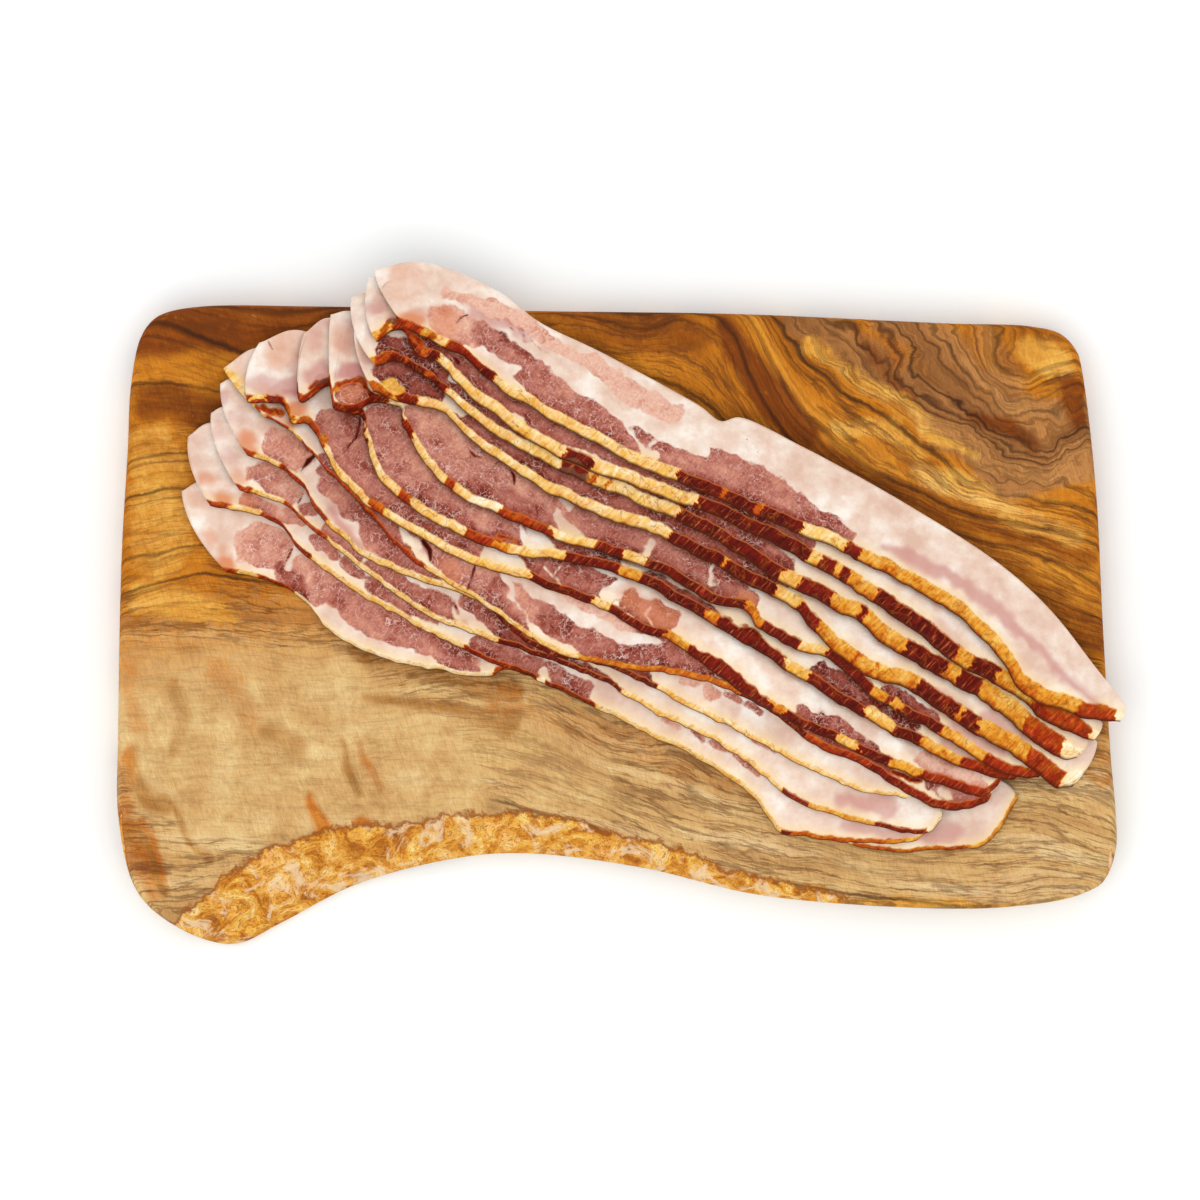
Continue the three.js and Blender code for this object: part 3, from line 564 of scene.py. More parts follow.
# From the lowest to the topmost: the front edge from the broad end to the tip, the back
# corner of the broad end (heel) and where the back edge goes from there (brow), the back
# corner of the tip, the width across the middle, and how wide the sloping cut edge shows
# at the broad end, the middle and the tip.
RASHERS = [
    {"heel": [-141, 36.5], "brow": [-133, 40], "tip": [122.5, -56.5], "width": 34,
     "edge": [1.8, 1.5, 1.3],
     "front": [[-126.5, 10.5], [-115, 8.5], [-102.5, 1.5], [-90, -11], [-70.5, -18.5],
               [-42.5, -23], [-37, -21], [-10, -30.5], [41, -57.5], [75, -77],
               [107, -78.5], [117, -77], [128, -62.5]]},
    {"heel": [-139, 54], "brow": [-131, 58.5], "tip": [101.5, -67], "width": 34,
     "edge": [2.2, 1.7, 1.6],
     "front": [[-131.5, 32], [-111, 26.5], [-102.5, 17.5], [-88.5, 6.5], [-51.5, -14],
               [-26, -24.5], [6, -40], [41, -60], [51, -72.5], [62, -75], [93, -76],
               [97.5, -73.5]]},
    {"heel": [-131.5, 61.5], "brow": [-127, 63.5], "tip": [102.5, -65], "width": 34,
     "edge": [2.2, 1.9, 1.6],
     "front": [[-122, 37], [-109, 32.5], [-98, 24], [-70.5, 2], [-54.5, -7],
               [-10, -22.5], [6, -32], [38, -48.5], [57, -63.5], [76.5, -69.5],
               [99, -73], [103, -69]]},
    {"heel": [-128.5, 71], "brow": [-124.5, 72.5], "tip": [97.5, -57.5], "width": 33,
     "edge": [2.4, 2.0, 1.6],
     "front": [[-119.5, 48], [-110, 44.5], [-101, 37], [-96.5, 29], [-80.5, 14.5],
               [-42, -1], [-37, -6.5], [-22.5, -16], [-10, -18], [41, -42.5], [77, -60],
               [91, -61.5]]},
    {"heel": [-127.5, 76], "brow": [-115, 82.5], "tip": [119.5, -58], "width": 32,
     "edge": [1.8, 1.8, 3.2],
     "front": [[-114, 60], [-106, 55.5], [-97, 46], [-80.5, 28.5], [-68, 15.5],
               [-41.5, -1.5], [-27, -12], [-16.5, -16.5], [31.5, -26], [47.5, -34],
               [59, -43], [76.5, -51.5], [97.5, -63.5], [105, -66], [113.5, -64.5],
               [117.5, -62.5]]},
    {"heel": [-116, 84], "brow": [-102.5, 88], "tip": [123, -53], "width": 31,
     "edge": [2.6, 3.0, 3.4],
     "front": [[-119.5, 64.5], [-108, 63.5], [-105.5, 58], [-101, 58], [-88.5, 39],
               [-77, 29], [-44, 11.5], [-34, 9], [-3.5, -3], [6, -8.5], [16, -12],
               [40, -29], [84.5, -51.5], [107, -59], [116.5, -61], [120.5, -58]]},
    {"heel": [-101.5, 87], "brow": [-93, 92], "tip": [132, -49], "width": 30,
     "edge": [2.8, 3.6, 3.8],
     "front": [[-103, 68], [-102, 65], [-93, 69.5], [-87.5, 61.5], [-83.5, 60],
               [-82, 53.5], [-75.5, 38.5], [-61, 27], [-30.5, 15], [-19.5, 14.5],
               [6, 6.5], [27, -5], [40, -13], [84.5, -40], [118, -55], [126, -56]]},
    {"heel": [-93, 93], "brow": [-86, 94], "tip": [139, -47], "width": 29,
     "edge": [2.8, 3.4, 3.8],
     "front": [[-93, 70.5], [-91.5, 62.5], [-87.5, 61.5], [-77, 64.5], [-70.5, 62.5],
               [-69, 56], [-55, 37], [-38, 28.5], [-17.5, 19.5], [-9, 18], [12.5, 10],
               [31, 0], [39, -2], [43.5, -7], [57, -14.5], [65.5, -17], [80, -29],
               [101.5, -41.5], [126, -55], [134, -55.5]]},
    {"heel": [-85, 90], "brow": [-79.5, 96], "tip": [153, -44], "width": 28.5,
     "edge": [3.4, 4.6, 6.4],
     "front": [[-79, 68], [-67, 63.5], [-58, 62], [-45, 50], [-16.5, 32.5], [15, 20.5],
               [38, 8], [55.5, -1.5], [61, -8.5], [71, -17.5], [80, -23.5],
               [89.5, -26.5], [102, -34.5], [127.5, -49.8], [134, -54.4],
               [139.8, -59.2], [145, -58.4]]},
    {"heel": [-86.5, 98.5], "brow": [-80.5, 100], "tip": [150, -44], "width": 28,
     "edge": [3.4, 4.6, 7.0],
     "front": [[-78, 76], [-72, 78], [-64.5, 74], [-38.5, 53], [-11.5, 39.5],
               [25.5, 23.5], [47.5, 9.5], [77, -6.5], [83, -12], [116.5, -31.5],
               [132.4, -43.8], [141.8, -49.4], [146, -49]]},
    {"heel": [-81, 104.5], "brow": [-77, 105.3], "tip": [154.5, -38], "width": 27.5,
     "edge": [3.6, 4.5, 6.4],
     "front": [[-78, 84], [-70.5, 87.5], [-64.5, 79], [-59, 77], [-45, 64], [-18, 46],
               [9.5, 36], [44.5, 21.5], [83, -1], [110, -20.5], [128, -30.5],
               [135, -37.2], [146, -42], [151.5, -43.2]]},
    {"edge": [4.2, 4.5, 5.4],
     "front": [[-68, 88], [-55.5, 81.5], [-48.5, 78], [-38.5, 69], [-19.5, 57.5],
               [0, 47], [31, 33.5], [63.5, 20], [88.5, 7.5], [108, -4], [121.5, -18],
               [127.5, -27], [134, -31.5], [148.5, -36], [160, -38]],
     "back": [[-79, 107], [-67.5, 109.8], [-58, 108.5], [-38.5, 100], [-26, 90.5],
              [-6.5, 81], [25.5, 63.5], [32, 58.8], [38, 60], [57.5, 51], [89.5, 33.5],
              [121.5, 13], [137.5, -1.5], [153, -21], [162, -32]]},
]

# Along each cut edge, from the broad end: [where it begins, how browned], with -1 cream fat,
# -0.5 golden fat, 0 amber, 0.4 red-brown and 1 oxblood lean.
RINDS = [
    [[-130, 0.3], [-123.5, -0.62], [-117.5, 0.5], [-105, -0.85], [-42, 0.2], [-30, -0.62],
     [74, 0.05], [110, -0.24]],
    [[-133, 0.25], [-125.8, -0.62], [-116.2, 0.55], [-100, -0.62], [-51, 0.5], [-37, 0.75],
     [-27.5, -0.9], [-24.8, 0.7], [-9, -0.62], [50.9, 0.7], [54, 0.05], [88, -0.24]],
    [[-125, 0.35], [-118.7, -0.62], [-108, 0.2], [-98, 0.4], [-94, -0.65], [-39.4, 0.9],
     [-0.3, -0.62], [50.9, 0.7], [59, -0.35], [80.3, 0.7], [98, -0.9]],
    [[-123, 0.35], [-117.8, -0.62], [-109.8, 0.4], [-93.8, -0.62], [-41.9, 0.9], [11.5, -0.62]],
    [[-118, -0.4], [-114, 0.3], [-106, -0.45], [-102, 0.2], [-97, 0.45], [-59.5, -0.62],
     [-14.7, -0.05], [38.1, 0.85], [59.2, 0.35], [79.7, 0.7], [95, 0.5]],
    [[-122, 0.6], [-118.5, -0.4], [-113, 0.4], [-108.2, 0.05], [-104.8, -0.5], [-102.6, 0.25],
     [-95.7, -0.62], [-80.3, 0.2], [-76.5, -0.62], [-29, 0.8], [-9.9, -0.62], [-2.9, 0.85],
     [14, -0.15], [22, 0.95], [46, -0.2], [52.5, 0.9], [68.5, -0.24], [75.8, 0.9], [85.4, -0.24],
     [96, 0.5]],
    [[-106, 0.4], [-99, 0.05], [-96, 0.5], [-93, 0.1], [-84, 0.9], [-81.6, -0.62], [-70.7, 0.3],
     [-67.5, -0.62], [-49.9, 0.35], [-41.9, -0.1], [-35.5, -0.62], [-18.6, 0.8], [-0.3, -0.3],
     [6.1, 0.95], [26.9, 0], [31, 0.95], [52.5, -0.5], [59.8, 0.9], [79, -0.24], [86.1, 0.9],
     [95, -0.24], [108.5, 0.4]],
    [[-96, 0.5], [-91, 0.65], [-82, 0.9], [-74.6, -0.85], [-70, 0.5], [-66.9, -0.62],
     [-56.3, 0.3], [-53.1, -0.62], [-48.3, -0.9], [-38.7, 0.35], [-24.3, -0.62], [-8.3, 0.75],
     [0.3, -0.62], [7.7, 0.9], [39.7, -0.1], [44.5, 0.85], [56.3, -0.5], [66.2, 0.75],
     [79.7, -0.24], [84.5, 0.9], [86.5, -0.24], [89.3, 0.9], [102.1, -0.24], [116.5, 0.4]],
    [[-82, 0.05], [-76, -0.4], [-66, -0.62], [15.7, 0.95], [32.3, -0.2], [33.9, 0.95],
     [49.3, -0.5], [57.3, 0.7], [63, -0.24], [75, 0.1], [76, -0.24], [80, 0.1], [81, -0.24],
     [94.7, 0.9], [107.8, -0.2], [109.4, 0.9], [114.2, -0.24], [130.2, 0.3], [142, -0.9]],
    [[-82, -0.1], [-76.8, 0.4], [-74.8, -0.2], [-73.4, 0.8], [-69.4, 0.1], [-67.8, 0.8],
     [-62.4, 0.1], [-60.8, 0.75], [-56, -0.62], [-18.9, 0.95], [-11.5, -0.3], [-9.9, 0.2],
     [-7.7, -0.62], [-4.5, -0.1], [-3.5, -0.62], [18.2, 0.95], [51.5, -0.5], [57.3, 0.8],
     [67.5, -0.24], [76.5, 0.8], [78.4, -0.24], [91, 0.9], [103.7, -0.2], [108.5, 0.9],
     [115.5, -0.24], [129.3, 0.3], [142, -0.9]],
    [[-82, -0.35], [-77, 0.2], [-74.4, -0.4], [-72.6, 0.35], [-69, 0.85], [-64, 0.2], [-62, 0.9],
     [-58, -0.62], [-35.5, -0.5], [-29, -0.62], [-18.2, 0.95], [-9.3, -0.62], [-2.4, -1],
     [-1.4, -0.62], [23.7, 0.95], [59.8, -0.5], [63.7, 0.8], [68.5, -0.24], [70.1, 0.8],
     [72.6, -0.24], [82.2, 0.95], [106.9, -0.24], [112.3, 0.95], [120.6, -0.24], [132.5, 0.3],
     [149.5, -0.9]],
    [[-72, 0.35], [-64.3, -0.35], [-61, 0.1], [-59, -0.62], [-55.5, 0.5], [-45.8, 0.95],
     [-40, -0.62], [18.4, 0.95], [31.7, 0.1], [33.9, 0.95], [42.9, 0], [45.1, 0.95],
     [58.2, -0.6], [72.6, 0.7], [76.5, -0.24], [121.3, -0.15], [137.3, -0.24], [146.9, 0.25],
     [158.3, -1]],
]

# What each rasher's face shows, in strokes laid one over another on plain fat: what it is,
# how much, and a chain of [x, y, half width]. Lean counts from -1 pale to 1 dark red, a
# slit and a knob in millimetres down or up, and browned meat as the cut edge does. Pink is
# pink meat, but at the lower ends of some broad heads it is painted purple shade. Pink past
# 1 is a bruise, which darkens the cut edge too.
FACES = [
    [("blush", 0.5, [[-132, 21.4, 2.5]]),
     ("blush", 0.35, [[-135, 34, 3.4]]),
     ("blush", 1.0, [[-126.7, 14.4, 3.2]]),
     ("lean", -0.7, [[-116.5, 19.4, 7.4], [-111.5, 18, 7.4]]),
     ("lean", -0.4, [[-102.7, 9, 8], [-91.5, 5.4, 7]]),
     ("lean", 0, [[-86, 2, 7], [-78.7, -2.6, 8], [-67.5, -8, 7],
                    [-54.7, -15.4, 4.4], [-45, -20.2, 2]]),
     ("lean", 0.45, [[-62, -8.4, 3], [-50, -15, 2.4]]),
     ("lean", 0.6, [[-108.5, 12, 1.6], [-105, 8, 2.6], [-103, 2, 1.4]]),
     ("fat", 0, [[-103.5, 0.6, 1.2], [-97, -1.4, 1.4], [-90.6, -6.4, 1.8], [-86, -10, 2.6],
                 [-78.7, -15, 2.2], [-70.7, -17.4, 1.6], [-58, -21.4, 1], [-45, -23, 1.2]]),
     ("lean", 0.5, [[-93, 1, 1.2], [-90.6, -0.8, 1.2]]),
     ("slit", 0.6, [[-79, -4, 0.15], [-80.4, -7.2, 0.18]]),
     ("fat", 0, [[-103.7, 18.4, 1.0], [-106.8, 12, 0.8]]),
     ("slit", 1.2, [[-105.3, 18.3, 0.21], [-106.9, 15, 0.36], [-107.6, 13.4, 0.18]]),
     ("pink_and_shade", 0.8, [[88, -72.6, 1.6], [98.9, -73.4, 2.9], [106, -72.8, 3.7]])],
    [("blush", 0.6, [[-132.5, 41, 3.2]]),
     ("blush", 0.9, [[-127.2, 33.4, 3.4]]),
     ("pink_and_shade", 0.4, [[-134.5, 53, 2.5]]),
     ("lean", 0, [[-119.7, 32.6, 3.0], [-110.7, 30, 2.6], [-102.7, 27.2, 1.8]]),
     ("blush", 0.4, [[-120, 32.6, 3]]),
     ("lean", 0.1, [[-97, 21.6, 2.2], [-93, 17.8, 2.4]]),
     ("lean", 0.1, [[-89, 14.4, 2.2], [-84, 9.8, 2.6]]),
     ("lean", 0.1, [[-79.4, 6.4, 2.6], [-74, 2.6, 2.8]]),
     ("lean", 0.1, [[-71, 1.4, 3.4], [-60.5, -4.2, 3.6]]),
     ("fat", 0, [[-66, -3.4, 0.9], [-60, -6.6, 1.4], [-53, -11.4, 1.2]]),
     ("lean", 0.35, [[-46, -14, 4], [-32.3, -18.4, 4], [-19.5, -24, 4], [-11.5, -27.4, 3.4]]),
     ("fat", 0, [[-25, -21, 1.8], [-23.4, -24.4, 1.2]]),
     ("slit", 0.8, [[-54.5, 2, 0.24], [-51.5, -1.6, 0.36]]),
     ("lean", -0.2, [[14, -36.6, 0.9], [18.6, -39.2, 1.1]]),
     ("lean", -0.2, [[23.6, -40.6, 0.8], [26, -42, 1.1]]),
     ("lean", -0.2, [[29.4, -43.2, 1.2], [33, -45.6, 1.4]]),
     ("lean", -0.2, [[35.6, -47.2, 1.2], [41, -51, 1.6], [44, -54, 1.0]]),
     ("pink_and_shade", 0.75, [[71, -69.6, 1.2], [76, -71, 2.2], [86, -72.8, 2.4], [94, -73.8, 1.6]])],
    [("pink_and_shade", 0.5, [[-126, 47, 3]]),
     ("pink_and_shade", 0.4, [[-129, 55, 2.4]]),
     ("blush", 0.6, [[-121.5, 41, 2.4]]),
     ("lean", -0.45, [[-116, 41.6, 4.6], [-107.5, 37.6, 5.4], [-103.4, 34.2, 3]]),
     ("fat", 0, [[-118.4, 38.2, 2.2], [-114, 35.6, 1.2]]),
     ("fat", 0, [[-101, 35, 1.2], [-103.5, 31.6, 1]]),
     ("slit", 1.2, [[-101.6, 35.7, 0.24], [-103.2, 32.8, 0.42]]),
     ("lean", 0.5, [[-100.2, 30.6, 2.4]]),
     ("lean", 0.1, [[-93.4, 25, 1.6], [-89.6, 20.6, 2.6], [-84.4, 16.2, 2.2]]),
     ("lean", 0.1, [[-80.5, 12.6, 2.8], [-74, 8.4, 4]]),
     ("lean", 0.1, [[-71, 5.4, 4], [-63, 1, 4.8], [-55.6, -2.4, 4.4]]),
     ("fat", 0, [[-54, -0.6, 0.6], [-52.6, -4, 1.8], [-47.6, -6.8, 1.6], [-43, -8.6, 0.9]]),
     ("pink_and_shade", 0.7, [[-50, -6, 1.4]]),
     ("lean", 0.3, [[-49, 2, 2.6], [-44, -2.4, 2.8], [-39, -7.4, 2.8]]),
     ("slit", 0.8, [[-54.6, 2, 0.18], [-52.6, -1, 0.36]]),
     ("lean", 0.7, [[-38.4, -8.6, 3], [-26, -16, 3], [-13, -21.4, 3.2], [-4.6, -25, 2.4]]),
     ("lean", -0.2, [[43, -42.8, 0.9], [49.6, -46.4, 1.2]]),
     ("pink_and_shade", 0.8, [[70, -62.4, 2]]),
     ("pink_and_shade", 0.8, [[72, -61.4, 1.6], [78, -63, 3], [86, -64.8, 3.8]])],
    [("pink_and_shade", 0.7, [[-127, 66, 2.2]]),
     ("pink_and_shade", 0.35, [[-122, 60, 3.4]]),
     ("blush", 0.9, [[-120, 51.4, 3.2]]),
     ("lean", -0.4, [[-109.8, 51.6, 5.4], [-104.3, 49.6, 6.6]]),
     ("lean", 0.6, [[-101, 56, 2.4], [-99.5, 51, 1.6]]),
     ("lean", 0.15, [[-95, 42.4, 5.4], [-89, 34.6, 5.4], [-82.6, 27.4, 5]]),
     ("lean", 0, [[-80.4, 22, 3.6], [-73, 14.6, 3.2]]),
     ("fat", 0, [[-96.6, 47.6, 0.8], [-100, 42.4, 1.3], [-98.8, 36.6, 2],
                 [-94.4, 31.4, 1.9], [-88.6, 25.6, 1.4], [-85.6, 23.6, 2.2], [-82.6, 19, 1],
                 [-77, 13.4, 1.3], [-71.4, 9.4, 1.9]]),
     ("pink_and_shade", 1.0, [[-93, 30.4, 1.2], [-87, 23, 1.8], [-78, 14, 1.4]]),
     ("slit", 2.0, [[-97.4, 48.4, 0.3], [-99.8, 46.2, 0.9], [-102.4, 42.8, 0.3]]),
     ("lean", 0.2, [[-79.7, 25.4, 3], [-71.3, 18, 3.4]]),
     ("lean", 0.1, [[-69.4, 13, 4], [-63, 7.6, 4.6], [-57, 3.6, 4]]),
     ("lean", 0.8, [[-38.4, -6.6, 2.4], [-26, -13.2, 2.6], [-6.7, -20.4, 2.4],
                    [6, -24.4, 3.6], [9.6, -27, 3]]),
     ("lean", -0.8, [[19, -23.4, 1.0], [23, -25.2, 1.2]]),
     ("lean", -0.8, [[27.4, -27.4, 2.2], [30, -28.2, 1.6]]),
     ("lean", -0.3, [[33.6, -28.4, 0.9], [37, -30.2, 1.3]]),
     ("lean", -0.3, [[39.7, -31.6, 1.3], [44.4, -34.6, 1.1]]),
     ("pink_and_shade", 0.5, [[36, -33.6, 1.8]])],
    [("rind", -0.45, [[-128.4, 75.4, 2.4], [-119.6, 64.6, 2], [-115.4, 60.6, 1.6]]),
     ("blush", 0.3, [[-121.5, 77, 7]]),
     ("pink_and_shade", 0.6, [[-110, 61, 3]]),
     ("rind", 0.4, [[-114, 62.8, 1.2], [-111, 62, 1.3], [-108.4, 61.4, 1.0]]),
     ("knob", 0.9, [[-113, 62.4, 1.4], [-109, 61.6, 1.4]]),
     ("slit", 1.0, [[-110.4, 62.8, 0.3], [-109.6, 61.4, 0.3]]),
     ("blush", 0.8, [[-105.4, 57, 2.4]]),
     ("lean", 0.2, [[-95, 46.4, 3], [-86.7, 38.6, 6.6], [-78.7, 30.4, 8], [-70.7, 22.4, 8],
                    [-64, 15.4, 5]]),
     ("rind", 0.35, [[-92, 41, 0.5], [-84, 32, 0.9], [-77, 23.4, 1.3], [-70, 17.4, 2.4],
                     [-66, 14, 1.4]]),
     ("lean", -0.15, [[-56.3, 11, 8], [-45, 4, 10]]),
     ("blush", 0.4, [[-55, 11, 4]]),
     ("lean", 0.4, [[-32.3, -2, 12], [-19.5, -7, 13], [-0.3, -15, 13], [18.9, -18.9, 12],
                   [36.5, -27.2, 8]]),
     ("lean", -1.1, [[-27, 7.6, 3.4], [-16, 2.6, 3.6], [-4, -5, 2.6], [4, -8.6, 1.4]]),
     ("fat", 0, [[-69.6, 26.4, 0.6], [-66.6, 21, 1.5], [-63, 14, 1.8], [-58, 8, 1.2],
                 [-52, 3, 0.8]]),
     ("rind", -0.5, [[-61.4, 11.6, 0.6], [-59.8, 9, 1.0]]),
     ("slit", 2.0, [[-63.2, 20.6, 0.54], [-61, 17.6, 0.84], [-60.8, 13.8, 0.3]]),
     ("slit", 1.4, [[-46.2, 13.8, 0.24], [-47.4, 9.6, 0.48], [-48.8, 5.2, 0.3]]),
     ("slit", 1.0, [[-40, 9.2, 0.21], [-40.6, 7, 0.18]]),
     ("lean", -0.15, [[-34.4, 4, 2.4], [-30, -3, 2.8], [-28, -8, 2]]),
     ("fat", 0, [[-38, 9.3, 0.5], [-34.6, 1.6, 0.5], [-29.6, -4.8, 0.6], [-25, -10.4, 1.6],
                 [-20.4, -14, 2.4], [-14.5, -16, 1.1]]),
     ("slit", 0.8, [[-24.4, -3.4, 0.15], [-22, -7, 0.21], [-19.6, -9.6, 0.18]]),
     ("fat", 0, [[-37, 9.4, 1], [-27.5, 5, 1.9], [-19.5, 0.4, 2.1], [-11.5, -4.4, 2.3],
                 [-3.5, -8.8, 2.3], [6, -10.9, 1.7], [13, -11.7, 0.7]]),
     ("lean", 0.35, [[39.7, -30.4, 3], [54, -37, 3.6], [70, -45, 4.4], [83, -53, 3.4]]),
     ("rind", 0.7, [[86, -54.4, 0.7], [92, -55.6, 1.0], [96, -56.6, 0.6]]),
     ("lean", 0, [[100.5, -57.6, 2.4], [108.5, -60.6, 2.8], [116.5, -61.8, 2]]),
     ("fat", 0, [[102, -59.4, 0.8], [106, -60.8, 1.1]])],
    [("pink_and_shade", 0.7, [[-114, 71, 4.4]]),
     ("blush", 0.4, [[-108, 82, 6], [-102, 86, 4]]),
     ("pink_and_shade", 0.5, [[-104, 76, 3]]),
     ("slit", 0.3, [[-113, 84.5, 0.15], [-111.6, 81.8, 0.18]]),
     # These two are painted purple shade along the head's lower end.
     ("pink_and_shade", 0.9, [[-112, 69.4, 3], [-104, 70.2, 4]]),
     ("pink_and_shade", 1.2, [[-108, 68.6, 1.6], [-103.6, 69, 2.4]]),
     ("blush", 1.0, [[-104, 61.4, 3.4]]),
     ("rind", 0.3, [[-119.4, 63.9, 0.5], [-115, 65.2, 0.7]]),
     ("rind", 0.55, [[-112.6, 66.6, 0.9], [-110, 65.6, 1.2], [-108, 63.6, 0.8]]),
     ("pink_and_shade", 1.3, [[-112, 66.2, 0.9], [-109, 64.8, 1.1]]),
     ("knob", 0.8, [[-111.4, 66, 1.6], [-108.6, 64.4, 1.4]]),
     ("slit", 1.0, [[-110.6, 65.6, 0.3], [-109.2, 64.2, 0.3]]),
     ("fat", 0, [[-104, 65.4, 1.8], [-96.5, 63, 2.6]]),
     ("lean", 0.1, [[-90.5, 55, 9.4], [-86.7, 46.4, 12], [-78.7, 36.8, 12],
                    [-67.5, 27.2, 11], [-56, 20.8, 9], [-49, 18, 6]]),
     ("lean", 0.55, [[-86, 61, 1.6], [-85, 55, 1.8]]),
     ("rind", 0.15, [[-95, 53.6, 1.6]]),
     ("rind", 0.15, [[-80, 33.4, 0.6], [-76.4, 30, 0.8]]),
     ("lean", 0.35, [[-70, 22.4, 2.4], [-55, 13.6, 2.6], [-46, 11, 2]]),
     ("slit", 1.2, [[-83.6, 62, 0.3], [-83.4, 58, 0.54], [-84.6, 53.6, 0.66],
                    [-87.2, 50.6, 0.24]]),
     ("slit", 0.6, [[-87, 50.4, 0.18], [-88.4, 48.4, 0.18]]),
     ("slit", 0.4, [[-82, 43.6, 0.15], [-85, 40.8, 0.15]]),
     ("slit", 0.6, [[-83.2, 39.9, 0.24]]),
     ("fat", 0, [[-42.8, 19, 0.6], [-41, 16, 1.9], [-38, 13.2, 2.4], [-34.6, 10.8, 1.7],
                 [-31.4, 9.4, 0.7]]),
     ("lean", 0.45, [[-28.4, 18.4, 4.4], [-22.4, 12.4, 6], [-15, 8, 7], [-4.4, 4.4, 4.6]]),
     ("fat", 0, [[-24, 12.4, 0.3], [-21, 9.8, 0.4], [-18, 12.6, 0.4]]),
     ("fat", 0, [[-21, 9.8, 0.35], [-19.4, 6.4, 0.3]]),
     ("fat", 0, [[-3.5, 3, 3], [2.8, 6, 2.8]]),
     ("lean", 0.3, [[4, -0.4, 5], [12.6, -4.4, 5.6]]),
     ("blush", 0.5, [[3, 2, 4], [13, -4, 5]]),
     ("fat", 0, [[10, 0.4, 0.3], [8, -3.6, 0.35], [9.6, -8.4, 0.35], [12, -9.4, 0.3]]),
     ("lean", 0.45, [[57.3, -34.2, 3], [68.5, -39.4, 4], [78, -45.4, 3.4], [84.5, -50, 1.4]]),
     ("rind", -0.45, [[71, -43.4, 1.2], [74.4, -44.8, 1.3]]),
     ("lean", -0.8, [[98, -49.6, 3.2], [107, -53.4, 3.4], [116.5, -57.8, 2]]),
     ("rind", 0.8, [[23, -14.6, 1.6], [31, -19.4, 2.6], [40, -27, 2.4], [47, -34, 1.2]])],
    [("blush", 0.15, [[-98.5, 84, 5]]),
     ("pink_and_shade", 0.5, [[-98, 84, 3], [-95, 90, 2]]),
     ("pink_and_shade", 0.9, [[-96.6, 73, 4.6]]),
     ("pink_and_shade", 1.2, [[-96, 71.6, 2.2]]),
     ("rind", 0.5, [[-99, 68.4, 0.6], [-95, 70.8, 0.9]]),
     ("pink_and_shade", 1.3, [[-98, 69, 0.7], [-95, 70.6, 0.9]]),
     ("lean", -0.05, [[-75, 59, 6.4], [-71, 49.6, 12], [-66, 40, 13], [-58, 32.4, 13],
                      [-45, 25.4, 12], [-35.6, 22.6, 6]]),
     ("lean", 0.4, [[-64, 33, 3.4], [-56, 26.4, 4], [-44, 19.6, 3.6], [-36, 17.6, 2.4]]),
     ("slit", 0.8, [[-73.2, 49.2, 0.18], [-71.6, 47.2, 0.27]]),
     ("slit", 0.8, [[-66.6, 51, 0.24], [-68.2, 48, 0.24]]),
     ("slit", 0.5, [[-69.4, 45.8, 0.15], [-66.6, 44.6, 0.15]]),
     ("rind", 0.35, [[-38.4, 21.4, 0.8], [-34.6, 20, 0.5]]),
     ("fat", 0, [[-32, 25.4, 0.5], [-30.8, 22, 1.5], [-27.8, 19.4, 2.5], [-23.4, 17.6, 1.7],
                 [-19.6, 16.4, 0.8]]),
     ("lean", 0.45, [[-19, 23.4, 4], [-14, 18, 5], [-8, 13.8, 6], [-1.6, 11.4, 4.4]]),
     ("fat", 0, [[1, 11.4, 1.8], [4.6, 9.4, 1.8]]),
     ("lean", 0.7, [[10, 8, 3.6], [20, 2, 3.6], [28.4, -2.4, 3]]),
     ("blush", 0.7, [[30.4, -3.4, 2.2]]),
     ("lean", 0.8, [[64, -21.4, 3], [73.3, -27.6, 4.6], [83, -32, 4.6], [91.6, -38, 3]]),
     ("rind", -0.4, [[80.6, -34, 2.0], [84.4, -38, 2.2]]),
     ("rind", -0.4, [[87.4, -31.8, 1.8], [92, -34.4, 2.0]]),
     ("rind", 0.85, [[33, -5, 1.2], [42, -11, 2.2], [50, -17.4, 1.4]]),
     ("pink_and_shade", 0.8, [[103.7, -46, 3], [118, -52.4, 2.6]])],
    [("blush", 0.3, [[-88, 86, 5]]),
     ("pink_and_shade", 0.5, [[-88, 84, 3], [-86, 90, 2.4]]),
     # These two are painted purple-grey shade over the head's lower part.
     ("pink_and_shade", 1.1, [[-88, 75, 3], [-83, 75, 3.4]]),
     ("pink_and_shade", 1.4, [[-85.4, 74.6, 2.6]]),
     ("lean", 0.1, [[-87.4, 67, 3.6], [-83.4, 66.6, 3.4]]),
     ("blush", 0.45, [[-86, 67.4, 4]]),
     ("rind", 0.6, [[-93, 66, 0.6], [-91.6, 63.6, 0.6], [-88, 62.6, 0.5]]),
     ("rind", 0.85, [[-82.2, 70.6, 1.1], [-80, 67, 1.7], [-76, 65.4, 1.9]]),
     ("rind", 0.1, [[-91.8, 68, 0.8], [-89.4, 70.4, 1.2], [-86.8, 71.6, 0.8]]),
     ("rind", 0.45, [[-87.6, 70.8, 1.0], [-84, 71.8, 1.4], [-82, 70.4, 1.2]]),
     ("pink_and_shade", 1.3, [[-88.6, 70.8, 0.7], [-84, 72, 1.1], [-82.2, 70, 0.9]]),
     ("knob", 0.6, [[-89.4, 70.4, 1.2], [-84, 72, 1.2]]),
     ("slit", 0.6, [[-86.6, 70.6, 0.3], [-84.6, 70.4, 0.3]]),
     ("fat", 0, [[-76.6, 77, 1.2], [-76.4, 71, 1.6]]),
     ("rind", 0.35, [[-68, 66.4, 2.2]]),
     ("knob", 0.8, [[-68, 66.4, 2.2]]),
